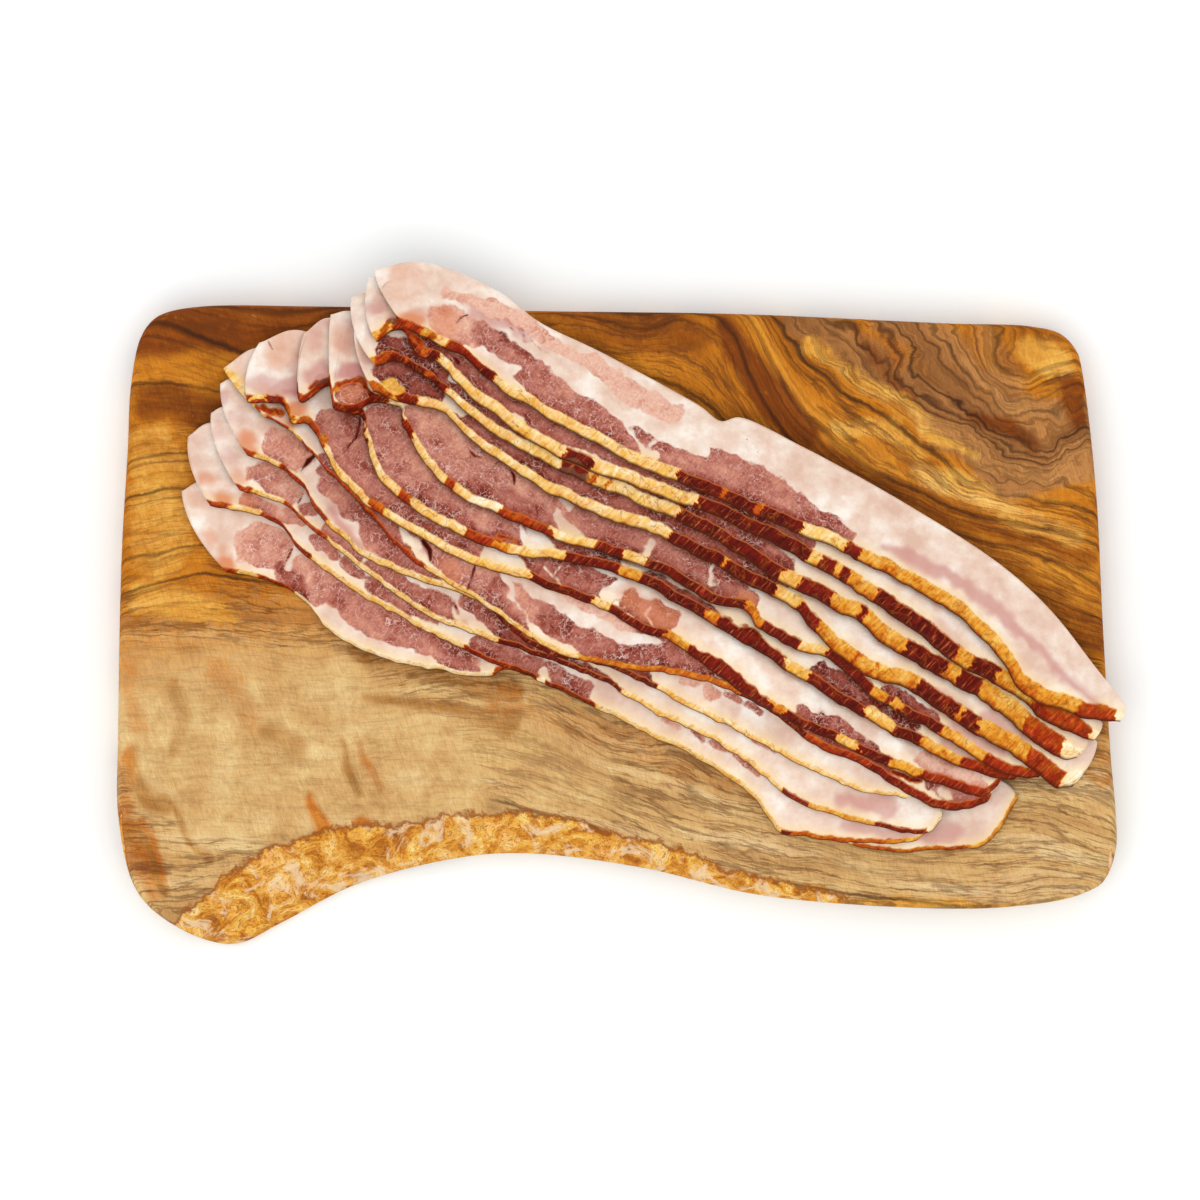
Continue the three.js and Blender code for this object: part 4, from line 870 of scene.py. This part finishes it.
     ("lean", -0.3, [[-62, 57, 9], [-54.7, 48, 13], [-45, 40.6, 14], [-32.3, 32, 14],
                     [-24.6, 27.4, 9]]),
     ("lean", 0.35, [[-48, 37, 3], [-38, 31, 5], [-30, 29, 5], [-24, 26, 4]]),
     ("slit", 1.0, [[-48.4, 49.4, 0.24], [-46.6, 47.6, 0.6], [-44.4, 47.2, 0.24]]),
     ("slit", 0.8, [[-49.4, 46.6, 0.18], [-47.4, 47.4, 0.24]]),
     ("slit", 0.6, [[-40.4, 45, 0.15], [-37.4, 46.4, 0.21]]),
     ("slit", 1.0, [[-35.4, 43.4, 0.24], [-34.2, 41.4, 0.48], [-34, 38.4, 0.21]]),
     ("slit", 0.4, [[-27, 31.6, 0.15], [-26.4, 27.4, 0.18]]),
     ("rind", 0.4, [[-27, 24.4, 1.2], [-23, 23, 1.4]]),
     ("fat", 0, [[-20.4, 31.4, 0.5], [-19, 27.6, 1.4], [-16.8, 24.4, 2.1], [-13.6, 21.6, 1.3]]),
     ("lean", 0.25, [[-12, 28, 4], [-6.6, 25, 7], [2, 20.4, 7.4]]),
     ("lean", 0.3, [[12, 15.6, 6], [22, 11.4, 6.6], [35, 5, 6], [41, 2.2, 3.4]]),
     ("fat", 0, [[10.4, 19.6, 0.8], [7.4, 16, 1.3], [5, 13, 1.2]]),
     ("fat", 0, [[28.6, 13, 0.6], [29.4, 7.2, 0.8]]),
     ("blush", 0.8, [[40.6, 2, 2.6]]),
     ("lean", 0.55, [[84.5, -26.8, 2.4], [92.5, -31.2, 3], [100, -36, 2]]),
     ("pink_and_shade", 0.8, [[107, -39.4, 2.4], [121.3, -47, 2.6]])],
    [("blush", 0.3, [[-80, 84, 4]]),
     ("pink_and_shade", 0.8, [[-80.6, 86, 1.6], [-79.6, 79, 2.4]]),
     ("rind", 0.1, [[-78.6, 70, 1.4], [-74, 68, 1.4]]),
     ("rind", 0.6, [[-70, 66, 2], [-67.4, 65, 2]]),
     ("lean", 0.85, [[-75, 74, 3.6], [-69, 71.4, 5], [-61, 66, 5.4]]),
     ("rind", -0.35, [[-73.6, 70.6, 1.6], [-71.2, 68.4, 1.6]]),
     ("lean", 0.5, [[-60, 60, 4], [-45, 54, 5], [-20, 40, 5], [10, 27, 5], [35, 15, 5],
                    [49, 6, 4]]),
     ("pink_and_shade", 1.3, [[-17, 32.8, 0.9], [-7, 29.4, 0.9]]),
     ("pink_and_shade", 0.6, [[101, -27, 1.6], [109, -32.6, 2.4]]),
     ("pink_and_shade", 0.8, [[117, -36, 2.2], [127, -43, 2.4]])],
    [("pink_and_shade", 0.9, [[-77.6, 87, 2.4], [-75, 82, 1.8]]),
     ("lean", 0.8, [[-75.4, 82, 3.6], [-69, 80.4, 5.4], [-60, 76, 6]]),
     ("rind", 0.15, [[-77.4, 78.6, 1.2], [-74.6, 79.8, 0.8]]),
     ("rind", 0.3, [[-66, 73.6, 0.8], [-62.6, 71, 1.0]]),
     ("lean", 0.5, [[-56, 68, 4], [-38, 58, 5], [-11, 44, 5], [25, 28, 5], [44, 18, 4],
                    [52, 12.6, 3.4]]),
     ("fat", 0, [[17, 24.4, 0.4], [18.4, 21, 0.6]]),
     ("pink_and_shade", 1.6, [[-17.6, 43, 1.6], [-11.5, 39.6, 1.6]]),
     ("pink_and_shade", 1.5, [[-8.4, 38.2, 0.6], [-6, 37.4, 0.6]]),
     ("pink_and_shade", 0.6, [[104, -19.4, 1.8], [112, -26, 2.2], [128, -38.6, 2]])],
    [("pink_and_shade", 0.8, [[-78, 95, 3]]),
     ("pink_and_shade", 1.5, [[-73, 90.6, 2.2]]),
     ("blush", 0.35, [[-76, 100, 3]]),
     ("slit", 0.4, [[-78.6, 103.6, 0.15], [-75.4, 98.6, 0.18], [-74.4, 95.6, 0.15]]),
     ("lean", 0.75, [[-74.4, 89.6, 1.6], [-70.4, 91, 2.2]]),
     ("lean", 0.85, [[-67, 85, 4], [-57, 80.6, 4.4]]),
     ("rind", 0.35, [[-68.4, 87, 1.2], [-64, 83, 0.9]]),
     ("lean", 0.45, [[-52, 76, 4], [-38, 69.6, 5], [-19, 57, 5], [10, 44, 5], [38, 33, 4.6],
                     [56, 24, 3.6], [61, 20.6, 2.4]]),
     ("slit", 1.6, [[-53, 78.8, 0.54], [-51.8, 77.4, 0.66]]),
     ("pink_and_shade", 1.5, [[-34.6, 57.4, 1.0], [-32.6, 56, 0.6]]),
     ("pink_and_shade", 1.4, [[-30, 54, 0.6]]),
     ("pink_and_shade", 1.6, [[-17, 45.6, 1.8], [-10.6, 42.4, 1.8]]),
     ("pink_and_shade", 1.5, [[-7.4, 41.2, 0.6], [-5, 40.4, 0.6]]),
     ("fat", 0, [[39, 34, 0.4], [40.6, 30, 0.7]]),
     ("pink_and_shade", 0.5, [[101, -5, 1.8], [109, -14, 2]])],
    [("blush", 0.3, [[-70, 103, 6]]),
     ("pink_and_shade", 0.5, [[-66, 92, 3]]),
     ("slit", 0.5, [[-73.4, 103.7, 0.18], [-75.2, 102.8, 0.18], [-76.2, 101.2, 0.15]]),
     ("blush", 0.9, [[-66.6, 90.6, 3.4]]),
     ("rind", 0.25, [[-66.6, 88.4, 2.2]]),
     ("knob", 0.5, [[-66.6, 89, 3]]),
     ("lean", -1, [[-55, 98.4, 2], [-42, 95.8, 3], [-32.3, 91.4, 2.6], [-19.5, 83, 2.4],
                   [-6.7, 75.8, 2.6], [6, 66.4, 4.4], [16.4, 60.6, 3]]),
     ("pink_and_shade", 0.8, [[-46, 94.6, 3], [-30, 86.4, 2]]),
     ("lean", -0.6, [[-59.6, 92, 3.4], [-53.4, 89.8, 5.4], [-46.6, 86.4, 4]]),
     ("blush", 0.55, [[-56, 90, 5]]),
     ("lean", 0.1, [[-42.6, 87.6, 4], [-34, 82, 5.4], [-26.5, 77.4, 4.4]]),
     ("lean", 0.6, [[-39, 88.8, 0.8], [-35.5, 84.8, 1.2], [-31, 81, 1.2], [-27.4, 79, 0.8]]),
     ("lean", 0.05, [[-29.5, 71.4, 5.4], [-18, 63, 9.4], [-6.7, 56.4, 10], [2.6, 52.6, 7]]),
     ("lean", 0.35, [[7.6, 54.2, 3.6]]),
     ("lean", 0.1, [[16, 46.6, 7], [28.5, 42.6, 8], [41.3, 37, 8], [54, 30.6, 6.6],
                    [65.3, 25, 4.4], [72.7, 21.6, 2.4]]),
     ("lean", 0.35, [[26, 40, 2.6], [40, 33, 3], [54, 26.4, 2.4], [66, 22, 1.6]]),
     ("fat", 0, [[-62.7, 96, 0.6], [-51.5, 95.4, 0.7], [-42, 91, 1], [-32.3, 85.2, 1.7],
                 [-19.5, 75, 2.1], [-6.7, 66.4, 2.2], [-0.3, 61.6, 2.2], [12.5, 56, 2.8],
                 [25.3, 51.2, 3]]),
     ("fat", 0, [[-41.3, 76.6, 1.4], [-37, 72.6, 3], [-32.6, 68.4, 1.8]]),
     ("fat", 0, [[0.3, 59.4, 0.6], [6, 51.6, 0.9], [9.4, 47.4, 2]]),
     ("slit", 0.8, [[-52.5, 90.2, 0.21], [-51.2, 91.8, 0.27], [-49, 92.8, 0.15]]),
     ("slit", 0.8, [[-29.6, 71, 0.24]]),
     ("slit", 0.8, [[-27.6, 72.4, 0.24], [-28.2, 69.6, 0.18]]),
     ("slit", 0.6, [[40.3, 53.1, 0.21]]),
     ("slit", 0.6, [[43.8, 49, 0.21]]),
     ("slit", 0.6, [[61, 39.7, 0.21]]),
     ("pink_and_shade", 0.9, [[84, 18.6, 1.4], [95.7, 13.6, 2.4], [103.7, 9.4, 2.2], [111.7, 4.4, 2.1],
                    [121.3, -2, 2.0], [127.7, -8.4, 1.9], [135.7, -14.6, 1.8],
                    [142, -22.4, 1.8], [148.5, -28.8, 1.4], [153.3, -32, 0.8]])],
]

bed_x, bed_y = [np.arange(-half + BED_CELL / 2, half, BED_CELL) for half in BED_HALF]
bed = np.full((len(bed_x), len(bed_y)), BOARD_THICKNESS)


def swept(heights, side):
    """Heights swept by a parabola of the rasher's stiffness, along both axes in turn:
    side +1 keeps the highest place it reaches from above, -1 the lowest from below."""
    reach = round(SAG_REACH / BED_CELL)
    for axis in (0, 1):
        padded = np.pad(heights, [(reach, reach) if a == axis else (0, 0) for a in (0, 1)],
                        mode="edge")
        length = heights.shape[axis]
        best = np.full(heights.shape, -np.inf)
        for k in range(2 * reach + 1):
            drop = ((k - reach) * BED_CELL) ** 2 / (2 * STIFFNESS)
            best = np.maximum(best, side * padded.take(range(k, k + length), axis) - drop)
        heights = side * best
    return heights


def cells(x, y):
    """The bed's cell before each place along both axes, and the shares of the way on."""
    gx, gy = (x - bed_x[0]) / BED_CELL, (y - bed_y[0]) / BED_CELL
    i, j = np.floor(gx).astype(int), np.floor(gy).astype(int)
    return i, j, gx - i, gy - j


def raise_bed(x, y, z):
    """Raises the four cells round each place to its height."""
    i, j = [cell.ravel() for cell in cells(x, y)[:2]]
    for di, dj in ((0, 0), (1, 0), (0, 1), (1, 1)):
        np.maximum.at(bed, (i + di, j + dj), z.ravel())


# Stations along a rasher, as shares of its length, closer together at both cut ends.
end_steps = np.array([0, 0.0006, 0.0014, 0.0026, 0.0042])
stations = np.concatenate([end_steps, np.linspace(0.0064, 0.9936, 430), 1 - end_steps[::-1]])

# A section's places from the front foot, under the rasher, up the back and over the top
# to the crest, then down the cut edge.
UNDER_STEPS, TOP_STEPS, EDGE_STEPS = 18, 58, 13


def sections(edge):
    """Each station's places, as shares of the way across and of the thickness. The cut
    edge falls from the crest to a quarter of the thickness as 1 - 0.75 q^1.25, where q
    runs down it."""
    edge = edge[:, None]
    under = np.linspace(0, 1, UNDER_STEPS)
    down = np.linspace(0, 1, EDGE_STEPS)[1:]
    across = np.hstack([0 * edge + under, 0 * edge + [1.004, 1.004],
                        edge + (1 - edge) * np.linspace(0.985, 0, TOP_STEPS),
                        edge * (1 - down)])
    up = np.concatenate([0 * under, [0.3, 0.75], np.ones(TOP_STEPS),
                         1 - EDGE_FALL * down ** 1.25])
    return across, np.broadcast_to(up, across.shape)


def both_edges(rasher, index):
    """A rasher's front edge, wavering by up to 0.7 mm, and its back edge, which keeps the
    rasher's width from the front one where others cover it."""
    near = curve_through(rasher["front"], stations)
    back = rasher.get("back")
    if back is None:
        steps = curve_through(rasher["front"], np.arange(CAD_STEPS + 1) / CAD_STEPS)
        at = np.array([round(share * CAD_STEPS) for share in HIDDEN_SHARES])
        hidden = steps[at] + left_of(steps[at + 2] - steps[at - 2]) * rasher["width"]
        back = [rasher["heel"], rasher["brow"], *hidden.tolist(), rasher["tip"]]
    waver = lumps(stations * FRONT_LENGTH, 0 * stations, EDGE_WAVER, index)
    side = left_of(np.gradient(near, axis=0))
    return near - side * waver[:, None], curve_through(back, stations)


def lay(rasher, index):
    """One rasher's rings, laid on the bed, and its fields of values. Its thickness, in two
    slow waves, loses a share of 0.3 u^2 along it and rounds off at both cut ends."""
    u = stations
    near, far = both_edges(rasher, index)
    span = np.linalg.norm(far - near, axis=1)
    edge = np.minimum(np.interp(u, [0, 0.5, 1], rasher["edge"]) / span, WIDEST_EDGE)
    v, t = sections(edge)
    tangent = left_of(np.gradient(near, axis=0))[:, [1, 0]] * [1, -1]
    step = u * CAD_STEPS
    ends = smooth(CAD_STEPS - BOW_STEPS, CAD_STEPS, step) - 1 + smooth(0, BOW_STEPS, step)
    bow = END_ARC * (span * ends)[:, None] * 4 * v * (1 - v)
    plan = near[:, None] * (1 - v[..., None]) + far[:, None] * v[..., None]
    plan = plan + tangent[:, None] * bow[..., None]
    x, y = plan[..., 0], plan[..., 1]

    end = np.minimum(smooth(-0.02, 0.04, u), smooth(-0.02, 0.03, 1 - u))
    waves = 1 + 0.07 * np.sin(7 * u + 2.4 * index) + 0.04 * np.sin(17 * u + index)
    thickness = RASHER_THICKNESS * waves * (1 - TIP_THINNING * u * u) * (0.5 + 0.5 * end)
    from_end = np.minimum(np.minimum(u, 1 - u) * RASHER_LENGTH / END_ROUND, 1)
    rounding = np.sqrt(np.clip(1 - (1 - from_end) ** 2, 0.09, 1))
    floor = between(swept(swept(bed, 1), -1), *cells(x, y)) + LAYER_GAP
    height = thickness[:, None] * (0.5 + (t - 0.5) * rounding[:, None])

    over_edge = (edge[:, None] - v) * span[:, None]
    over_edge[:, :UNDER_STEPS] = UNDERSIDE
    fields, rise = paint(x, y, over_edge, index)
    # How far down the cut edge each place is, which the material uses to paint shade that darkens
    # towards the foot and a contact shadow along it.
    fields["foot"] = np.clip((1 - t) / EDGE_FALL, 0, 1)
    rise += lumps(x, y, FACE_RELIEF, index)
    rise += smooth(-0.4, 0.6, over_edge) * lumps(x, y, TOP_RELIEF, index)
    z = floor + height + np.where(t >= 1 - EDGE_FALL, rise, 0)
    raise_bed(*(each[:, UNDER_STEPS:] for each in (x, y, z)))
    return np.stack([x, y, z], axis=-1), fields


def paint(x, y, over_edge, index):
    """The meat of one rasher at each place, from its strokes and its cut edge's table, and
    how far knobs raise it and slits lower it. Lean, smoke and slit are millimetres inside,
    so their borders stay sharp between places, and every border wanders by up to a
    millimetre. Across the cut edge the borders slant as the fibres do."""
    wander = lumps(x, y, BORDER_WANDER, index)
    begins, browned = np.transpose(RINDS[index])
    slide = x + FIBRE_SLANT * (np.clip(over_edge, -1, 5) - 2) + lumps(x, y, SLIDE, index)
    nearest = np.clip(np.searchsorted(begins, slide) - 1, 0, len(begins) - 1)
    field = {"lean": np.full(x.shape, -FAR), "slit": np.full(x.shape, -FAR),
             "smoke": over_edge + lumps(x, y, CREST_WANDER, index),
             "rind": browned[nearest], "tone": 0 * x, "pink_and_shade": 0 * x, "blush": 0 * x}
    rise = 0 * x
    warp_x, warp_y = [at + lumps(x, y, drift, index) for at, drift in zip((x, y), STROKE_DRIFT)]
    for kind, amount, chain in FACES[index]:
        widest = max(link[2] for link in chain)
        depth = inside(warp_x, warp_y, chain) + wander * min(1, widest / 3)
        if kind == "lean":
            field["lean"] = np.maximum(field["lean"], depth)
            field["tone"] += (amount - field["tone"]) * smooth(-1.6, 0.4, depth)
        elif kind == "fat":
            field["lean"] = np.minimum(field["lean"], -depth)
        elif kind == "rind":
            field["smoke"] = np.maximum(field["smoke"], depth)
            field["rind"] = np.where(depth > -0.6, amount, field["rind"])
        elif kind == "slit":
            depth = inside(x, y, chain) + 0.3 * wander
            field["slit"] = np.maximum(field["slit"], depth)
            rise -= amount * smooth(-0.4, 0.5, depth)
        elif kind == "knob":
            rise += amount * smooth(-1.5, 2, depth)
        else:
            field[kind] = np.maximum(field[kind], amount * smooth(-1.5, 1.5, depth))
    return {name: np.clip(values, -FAR, FAR) for name, values in field.items()}, rise


def cured_pork():
    """Cured and smoked back bacon, freshly cut: mauve lean flecked with fat, cream fat,
    and a cut edge browned by smoke to gold on fat and oxblood on lean."""
    material, tree = new_material("cured_smoked_pork")
    place = add(tree, "TexCoord").outputs["Object"]
    field = {name: add(tree, "Attribute", attribute_name=name).outputs["Fac"]
             for name in ("lean", "tone", "pink_and_shade", "blush", "slit", "smoke", "rind", "foot")}
    # Noise by the size of its lumps in mm: meat grain, ragged borders, mottling, marbling,
    # wide and narrow veins, and cracks in the browned fat.
    grain, ragged, mottle, patch, curl, curlet, crack = [
        add(tree, "TexNoise", {"Vector": place, "Scale": 1000 / size, "Detail": detail,
                               "Roughness": roughness, "Distortion": distortion})
        for size, detail, roughness, distortion in (
            (0.9, 4, 0.6, 0), (1.9, 4, 0.6, 0), (4.6, 4, 0.6, 0), (12, 4, 0.6, 0),
            (7, 4, 0.5, 0.2), (2.6, 4, 0.5, 0.2), (9, 3, 0.5, 1))]
    # Noise drawn out to fibres, across the lean and slanting over the cut edge.
    fibre, strand = [
        add(tree, "TexNoise", {
            "Vector": add(tree, "Mapping", {"Vector": place, "Rotation": (0, 0, turn),
                                            "Scale": size}, vector_type="TEXTURE"),
            "Scale": 1, "Detail": detail, "Roughness": roughness, "Distortion": distortion})
        for turn, size, detail, roughness, distortion in (
            (0.9, (0.0022, 0.0007, 0.002), 3, 0.5, 1.2),
            (0.8, (0.006, 0.0007, 0.005), 4, 0.65, 0.4))]

    # Fat: cream, greyer or pinker in slow clouds, warmer beside the browned edge, and tinted by
    # the pink strokes, which at the lower ends of some heads are painted purple shade.
    fat = add(tree, "ValToRGB", [patch], [(0.34, "#D8B4A0"), (0.5, "#E6CCBA"), (0.66, "#F2E6DA")])
    cloud = add(tree, "ValToRGB", [mottle], [(0.5, 0), (0.75, 0.5)])
    warm = add(tree, "MapRange", [field["smoke"], -3.5, 0, 0, 0.6])
    tint = add(tree, "Math", [field["pink_and_shade"], 0.85], operation="MULTIPLY")
    for part, colour in ((cloud, "#DCAE9C"), (warm, "#F3D39A"), (tint, "#C68A82")):
        fat = add(tree, "Mix", [part, fat, colour], **LAID)

    # Lean: from pale to dark red by its tone, with dark and pale grains a millimetre wide,
    # fibres across it, and thin pale veins in clusters where the marbling is thick.
    depth = -0.55
    for part, share in ((mottle, 0.9), (patch, 1.2), (field["tone"], 0.42)):
        depth = add(tree, "Math", [part, share, depth], operation="MULTIPLY_ADD")
    rimmed = add(tree, "MapRange", [field["smoke"], -2.6, 0, 0, 0.2])
    depth = add(tree, "Math", [depth, rimmed], operation="ADD")
    lean = add(tree, "ValToRGB", [depth],
               [(0.05, "#E0AE98"), (0.3, "#CA8871"), (0.52, "#B06A5B"), (0.74, "#944738"),
                (1, "#681E14")])
    rough = add(tree, "Mix", [0.5, grain, fibre])
    shade = add(tree, "ValToRGB", [rough], [(0.3, 0.2), (0.7, 0.8)])
    lean = add(tree, "Mix", [0.55, lean, shade], **OVERLAY)
    thick = add(tree, "Mix", [0.5, mottle, patch])
    thick = add(tree, "ValToRGB", [thick], [(0.44, 0.12), (0.6, 1)])
    for source, stops, colour in (
            (rough, [(0.54, 0), (0.64, 0.6)], "#E4BAAA"),
            (curl, [(0.486, 0), (0.5, 0.7), (0.514, 0)], "#F0CDC0"),
            (curlet, [(0.478, 0), (0.5, 0.5), (0.522, 0)], "#F0CDC0")):
        fleck = add(tree, "ValToRGB", [source], stops)
        fleck = add(tree, "Math", [fleck, thick], operation="MULTIPLY")
        lean = add(tree, "Mix", [fleck, lean, colour], **LAID)

    border = add(tree, "Math", [ragged, 1.6, field["lean"]], operation="MULTIPLY_ADD")
    border = add(tree, "MapRange", [border, 0.3, 1.2], interpolation_type="SMOOTHSTEP")
    flush = add(tree, "Math", [field["blush"], 0.9], operation="MULTIPLY")
    meat = add(tree, "Mix", [border, fat, lean], **LAID)
    meat = add(tree, "Mix", [flush, meat, "#D27E50"], **LAID)

    # The cut edge: cream and gold on fat, amber between, oxblood on lean, with painted shade
    # that darkens it towards its foot and a dark painted contact shadow along the foot itself,
    # and fibres slanting over it that are palest on the dark meat, where a painted highlight
    # runs along the crest as well.
    # Browned by smoke; the foot's share in it is painted shade.
    browned = add(tree, "Math", [ragged, 0.4], operation="MULTIPLY")
    for part, share in ((mottle, 0.5), (field["foot"], 0.14), (field["rind"], 0.48)):
        browned = add(tree, "Math", [part, share, browned], operation="MULTIPLY_ADD")
    edge = add(tree, "ValToRGB", [browned],
               [(0, "#F8E6C6"), (0.16, "#EEC888"), (0.28, "#E5AE52"), (0.4, "#D88E28"),
                (0.5, "#C06012"), (0.64, "#A4300A"), (0.8, "#7E1C0C"), (1, "#561008")])
    shade = add(tree, "ValToRGB", [strand], [(0.33, 0.15), (0.67, 0.8)])
    streaky = add(tree, "MapRange", [browned, 0.35, 0.6, 0.45, 0.7])
    edge = add(tree, "Mix", [streaky, edge, shade], **OVERLAY)
    crack = add(tree, "ValToRGB", [crack], [(0.485, 0), (0.5, 0.6), (0.515, 0)])
    # Painted highlight: a pale line along the crest of the cut edge, in the fibres' colour, shown
    # only on dark meat.
    crest_highlight = add(tree, "MapRange", [field["smoke"], -0.6, 0.8])
    crest_highlight = add(tree, "ValToRGB", [crest_highlight], [(0.2, 0), (0.5, 0.75), (0.8, 0)])
    strand = add(tree, "ValToRGB", [strand], [(0.58, 0), (0.7, 0.75)])
    strand = add(tree, "Math", [strand, crest_highlight], operation="MAXIMUM")
    on_dark = add(tree, "MapRange", [browned, 0.5, 0.65])
    strand = add(tree, "Math", [strand, on_dark], operation="MULTIPLY")
    bruise = add(tree, "Math", [ragged, 0.5], operation="SUBTRACT")
    bruise = add(tree, "Math", [bruise, field["pink_and_shade"]], operation="ADD")
    bruise = add(tree, "MapRange", [bruise, 0.9, 1.25, 0, 0.75])
    # Painted contact shadow: a dark line along the foot of the cut edge, where it meets what lies
    # below.
    foot = add(tree, "MapRange", [field["foot"], 0.7, 0.92, 0, 0.9])
    for part, colour in ((crack, "#8E4E14"), (strand, "#C9703A"), (bruise, "#6E4632"),
                         (foot, "#4E1C08")):
        edge = add(tree, "Mix", [part, edge, colour], **LAID)

    sides = add(tree, "Math", [ragged, 1.4, field["smoke"]], operation="MULTIPLY_ADD")
    sides = add(tree, "MapRange", [sides, 0.2, 1], interpolation_type="SMOOTHSTEP")
    gap = add(tree, "MapRange", [field["slit"], -0.2, 0.3], interpolation_type="SMOOTHSTEP")
    inner = add(tree, "ValToRGB", [field["slit"]], [(0, "#7E2A1A"), (0.8, "#340B07")])
    for part, colour in ((sides, edge), (gap, inner)):
        meat = add(tree, "Mix", [part, meat, colour], **LAID)
    bump = add(tree, "Bump", {"Height": rough, "Strength": 0.45, "Distance": 0.0005})
    finish = add(tree, "BsdfPrincipled", {"Base Color": meat, "Roughness": 0.42, "IOR": 1.4,
                                          "Specular IOR Level": 0.07, "Normal": bump})
    add(tree, "OutputMaterial", [finish])
    return material


pork = cured_pork()
for index, rasher in enumerate(RASHERS):
    rings, fields = lay(rasher, index)
    piece = skin(f"bacon_{index + 1:02d}", rings, fields)
    piece.data.materials.append(pork)
    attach(piece, "root")
    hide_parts(f"rasher_{index + 1:02d}")

# ---------- Floor, light and camera ----------
# A plain pale tabletop under one wide soft lamp, in a white room, seen from straight
# above through a long lens.

SEEN_WIDTH = 384.0        # what the view is wide, at the middle height of the pile
SEEN_MIDDLE = (-6.7, 1.6)
SEEN_HEIGHT = 30.0
LENS, SENSOR = 300.0, 36.0
FLOOR_HALF = 3.0          # metres from the middle of the tabletop to its sides

floor_mesh = bpy.data.meshes.new("tabletop")
floor_mesh.from_pydata([(-FLOOR_HALF, -FLOOR_HALF, 0), (FLOOR_HALF, -FLOOR_HALF, 0),
                        (FLOOR_HALF, FLOOR_HALF, 0), (-FLOOR_HALF, FLOOR_HALF, 0)],
                       [], [(0, 1, 2, 3)])
floor = bpy.data.objects.new("tabletop", floor_mesh)
bpy.context.collection.objects.link(floor)
material, tree = new_material("pale_tabletop")
finish = add(tree, "BsdfPrincipled", {"Base Color": "#FBFCFB", "Roughness": 0.9})
add(tree, "OutputMaterial", [finish])
floor_mesh.materials.append(material)

world = bpy.data.worlds.new("white_room")
world.use_nodes = True
world.node_tree.nodes["Background"].inputs["Color"].default_value = linear("#F6F9FA")
world.node_tree.nodes["Background"].inputs["Strength"].default_value = 1.12
bpy.context.scene.world = world

lamp_data = bpy.data.lights.new("wide_lamp", "AREA")
lamp_data.shape = "DISK"
lamp_data.size = 1.6
lamp_data.energy = 9.0
lamp = bpy.data.objects.new("wide_lamp", lamp_data)
lamp.location = (-0.2, -0.4, 2.1)
lamp.rotation_euler = (0.19, -0.095, 0.0)
bpy.context.collection.objects.link(lamp)

camera_data = bpy.data.cameras.new("from_above")
camera_data.lens = LENS
camera_data.sensor_width = SENSOR
camera_data.clip_end = 20.0
camera = bpy.data.objects.new("from_above", camera_data)
camera.location = (SEEN_MIDDLE[0] * 0.001, SEEN_MIDDLE[1] * 0.001,
                   (SEEN_HEIGHT + SEEN_WIDTH * LENS / SENSOR) * 0.001)
bpy.context.collection.objects.link(camera)
bpy.context.scene.camera = camera
bpy.context.scene.view_settings.view_transform = "Standard"
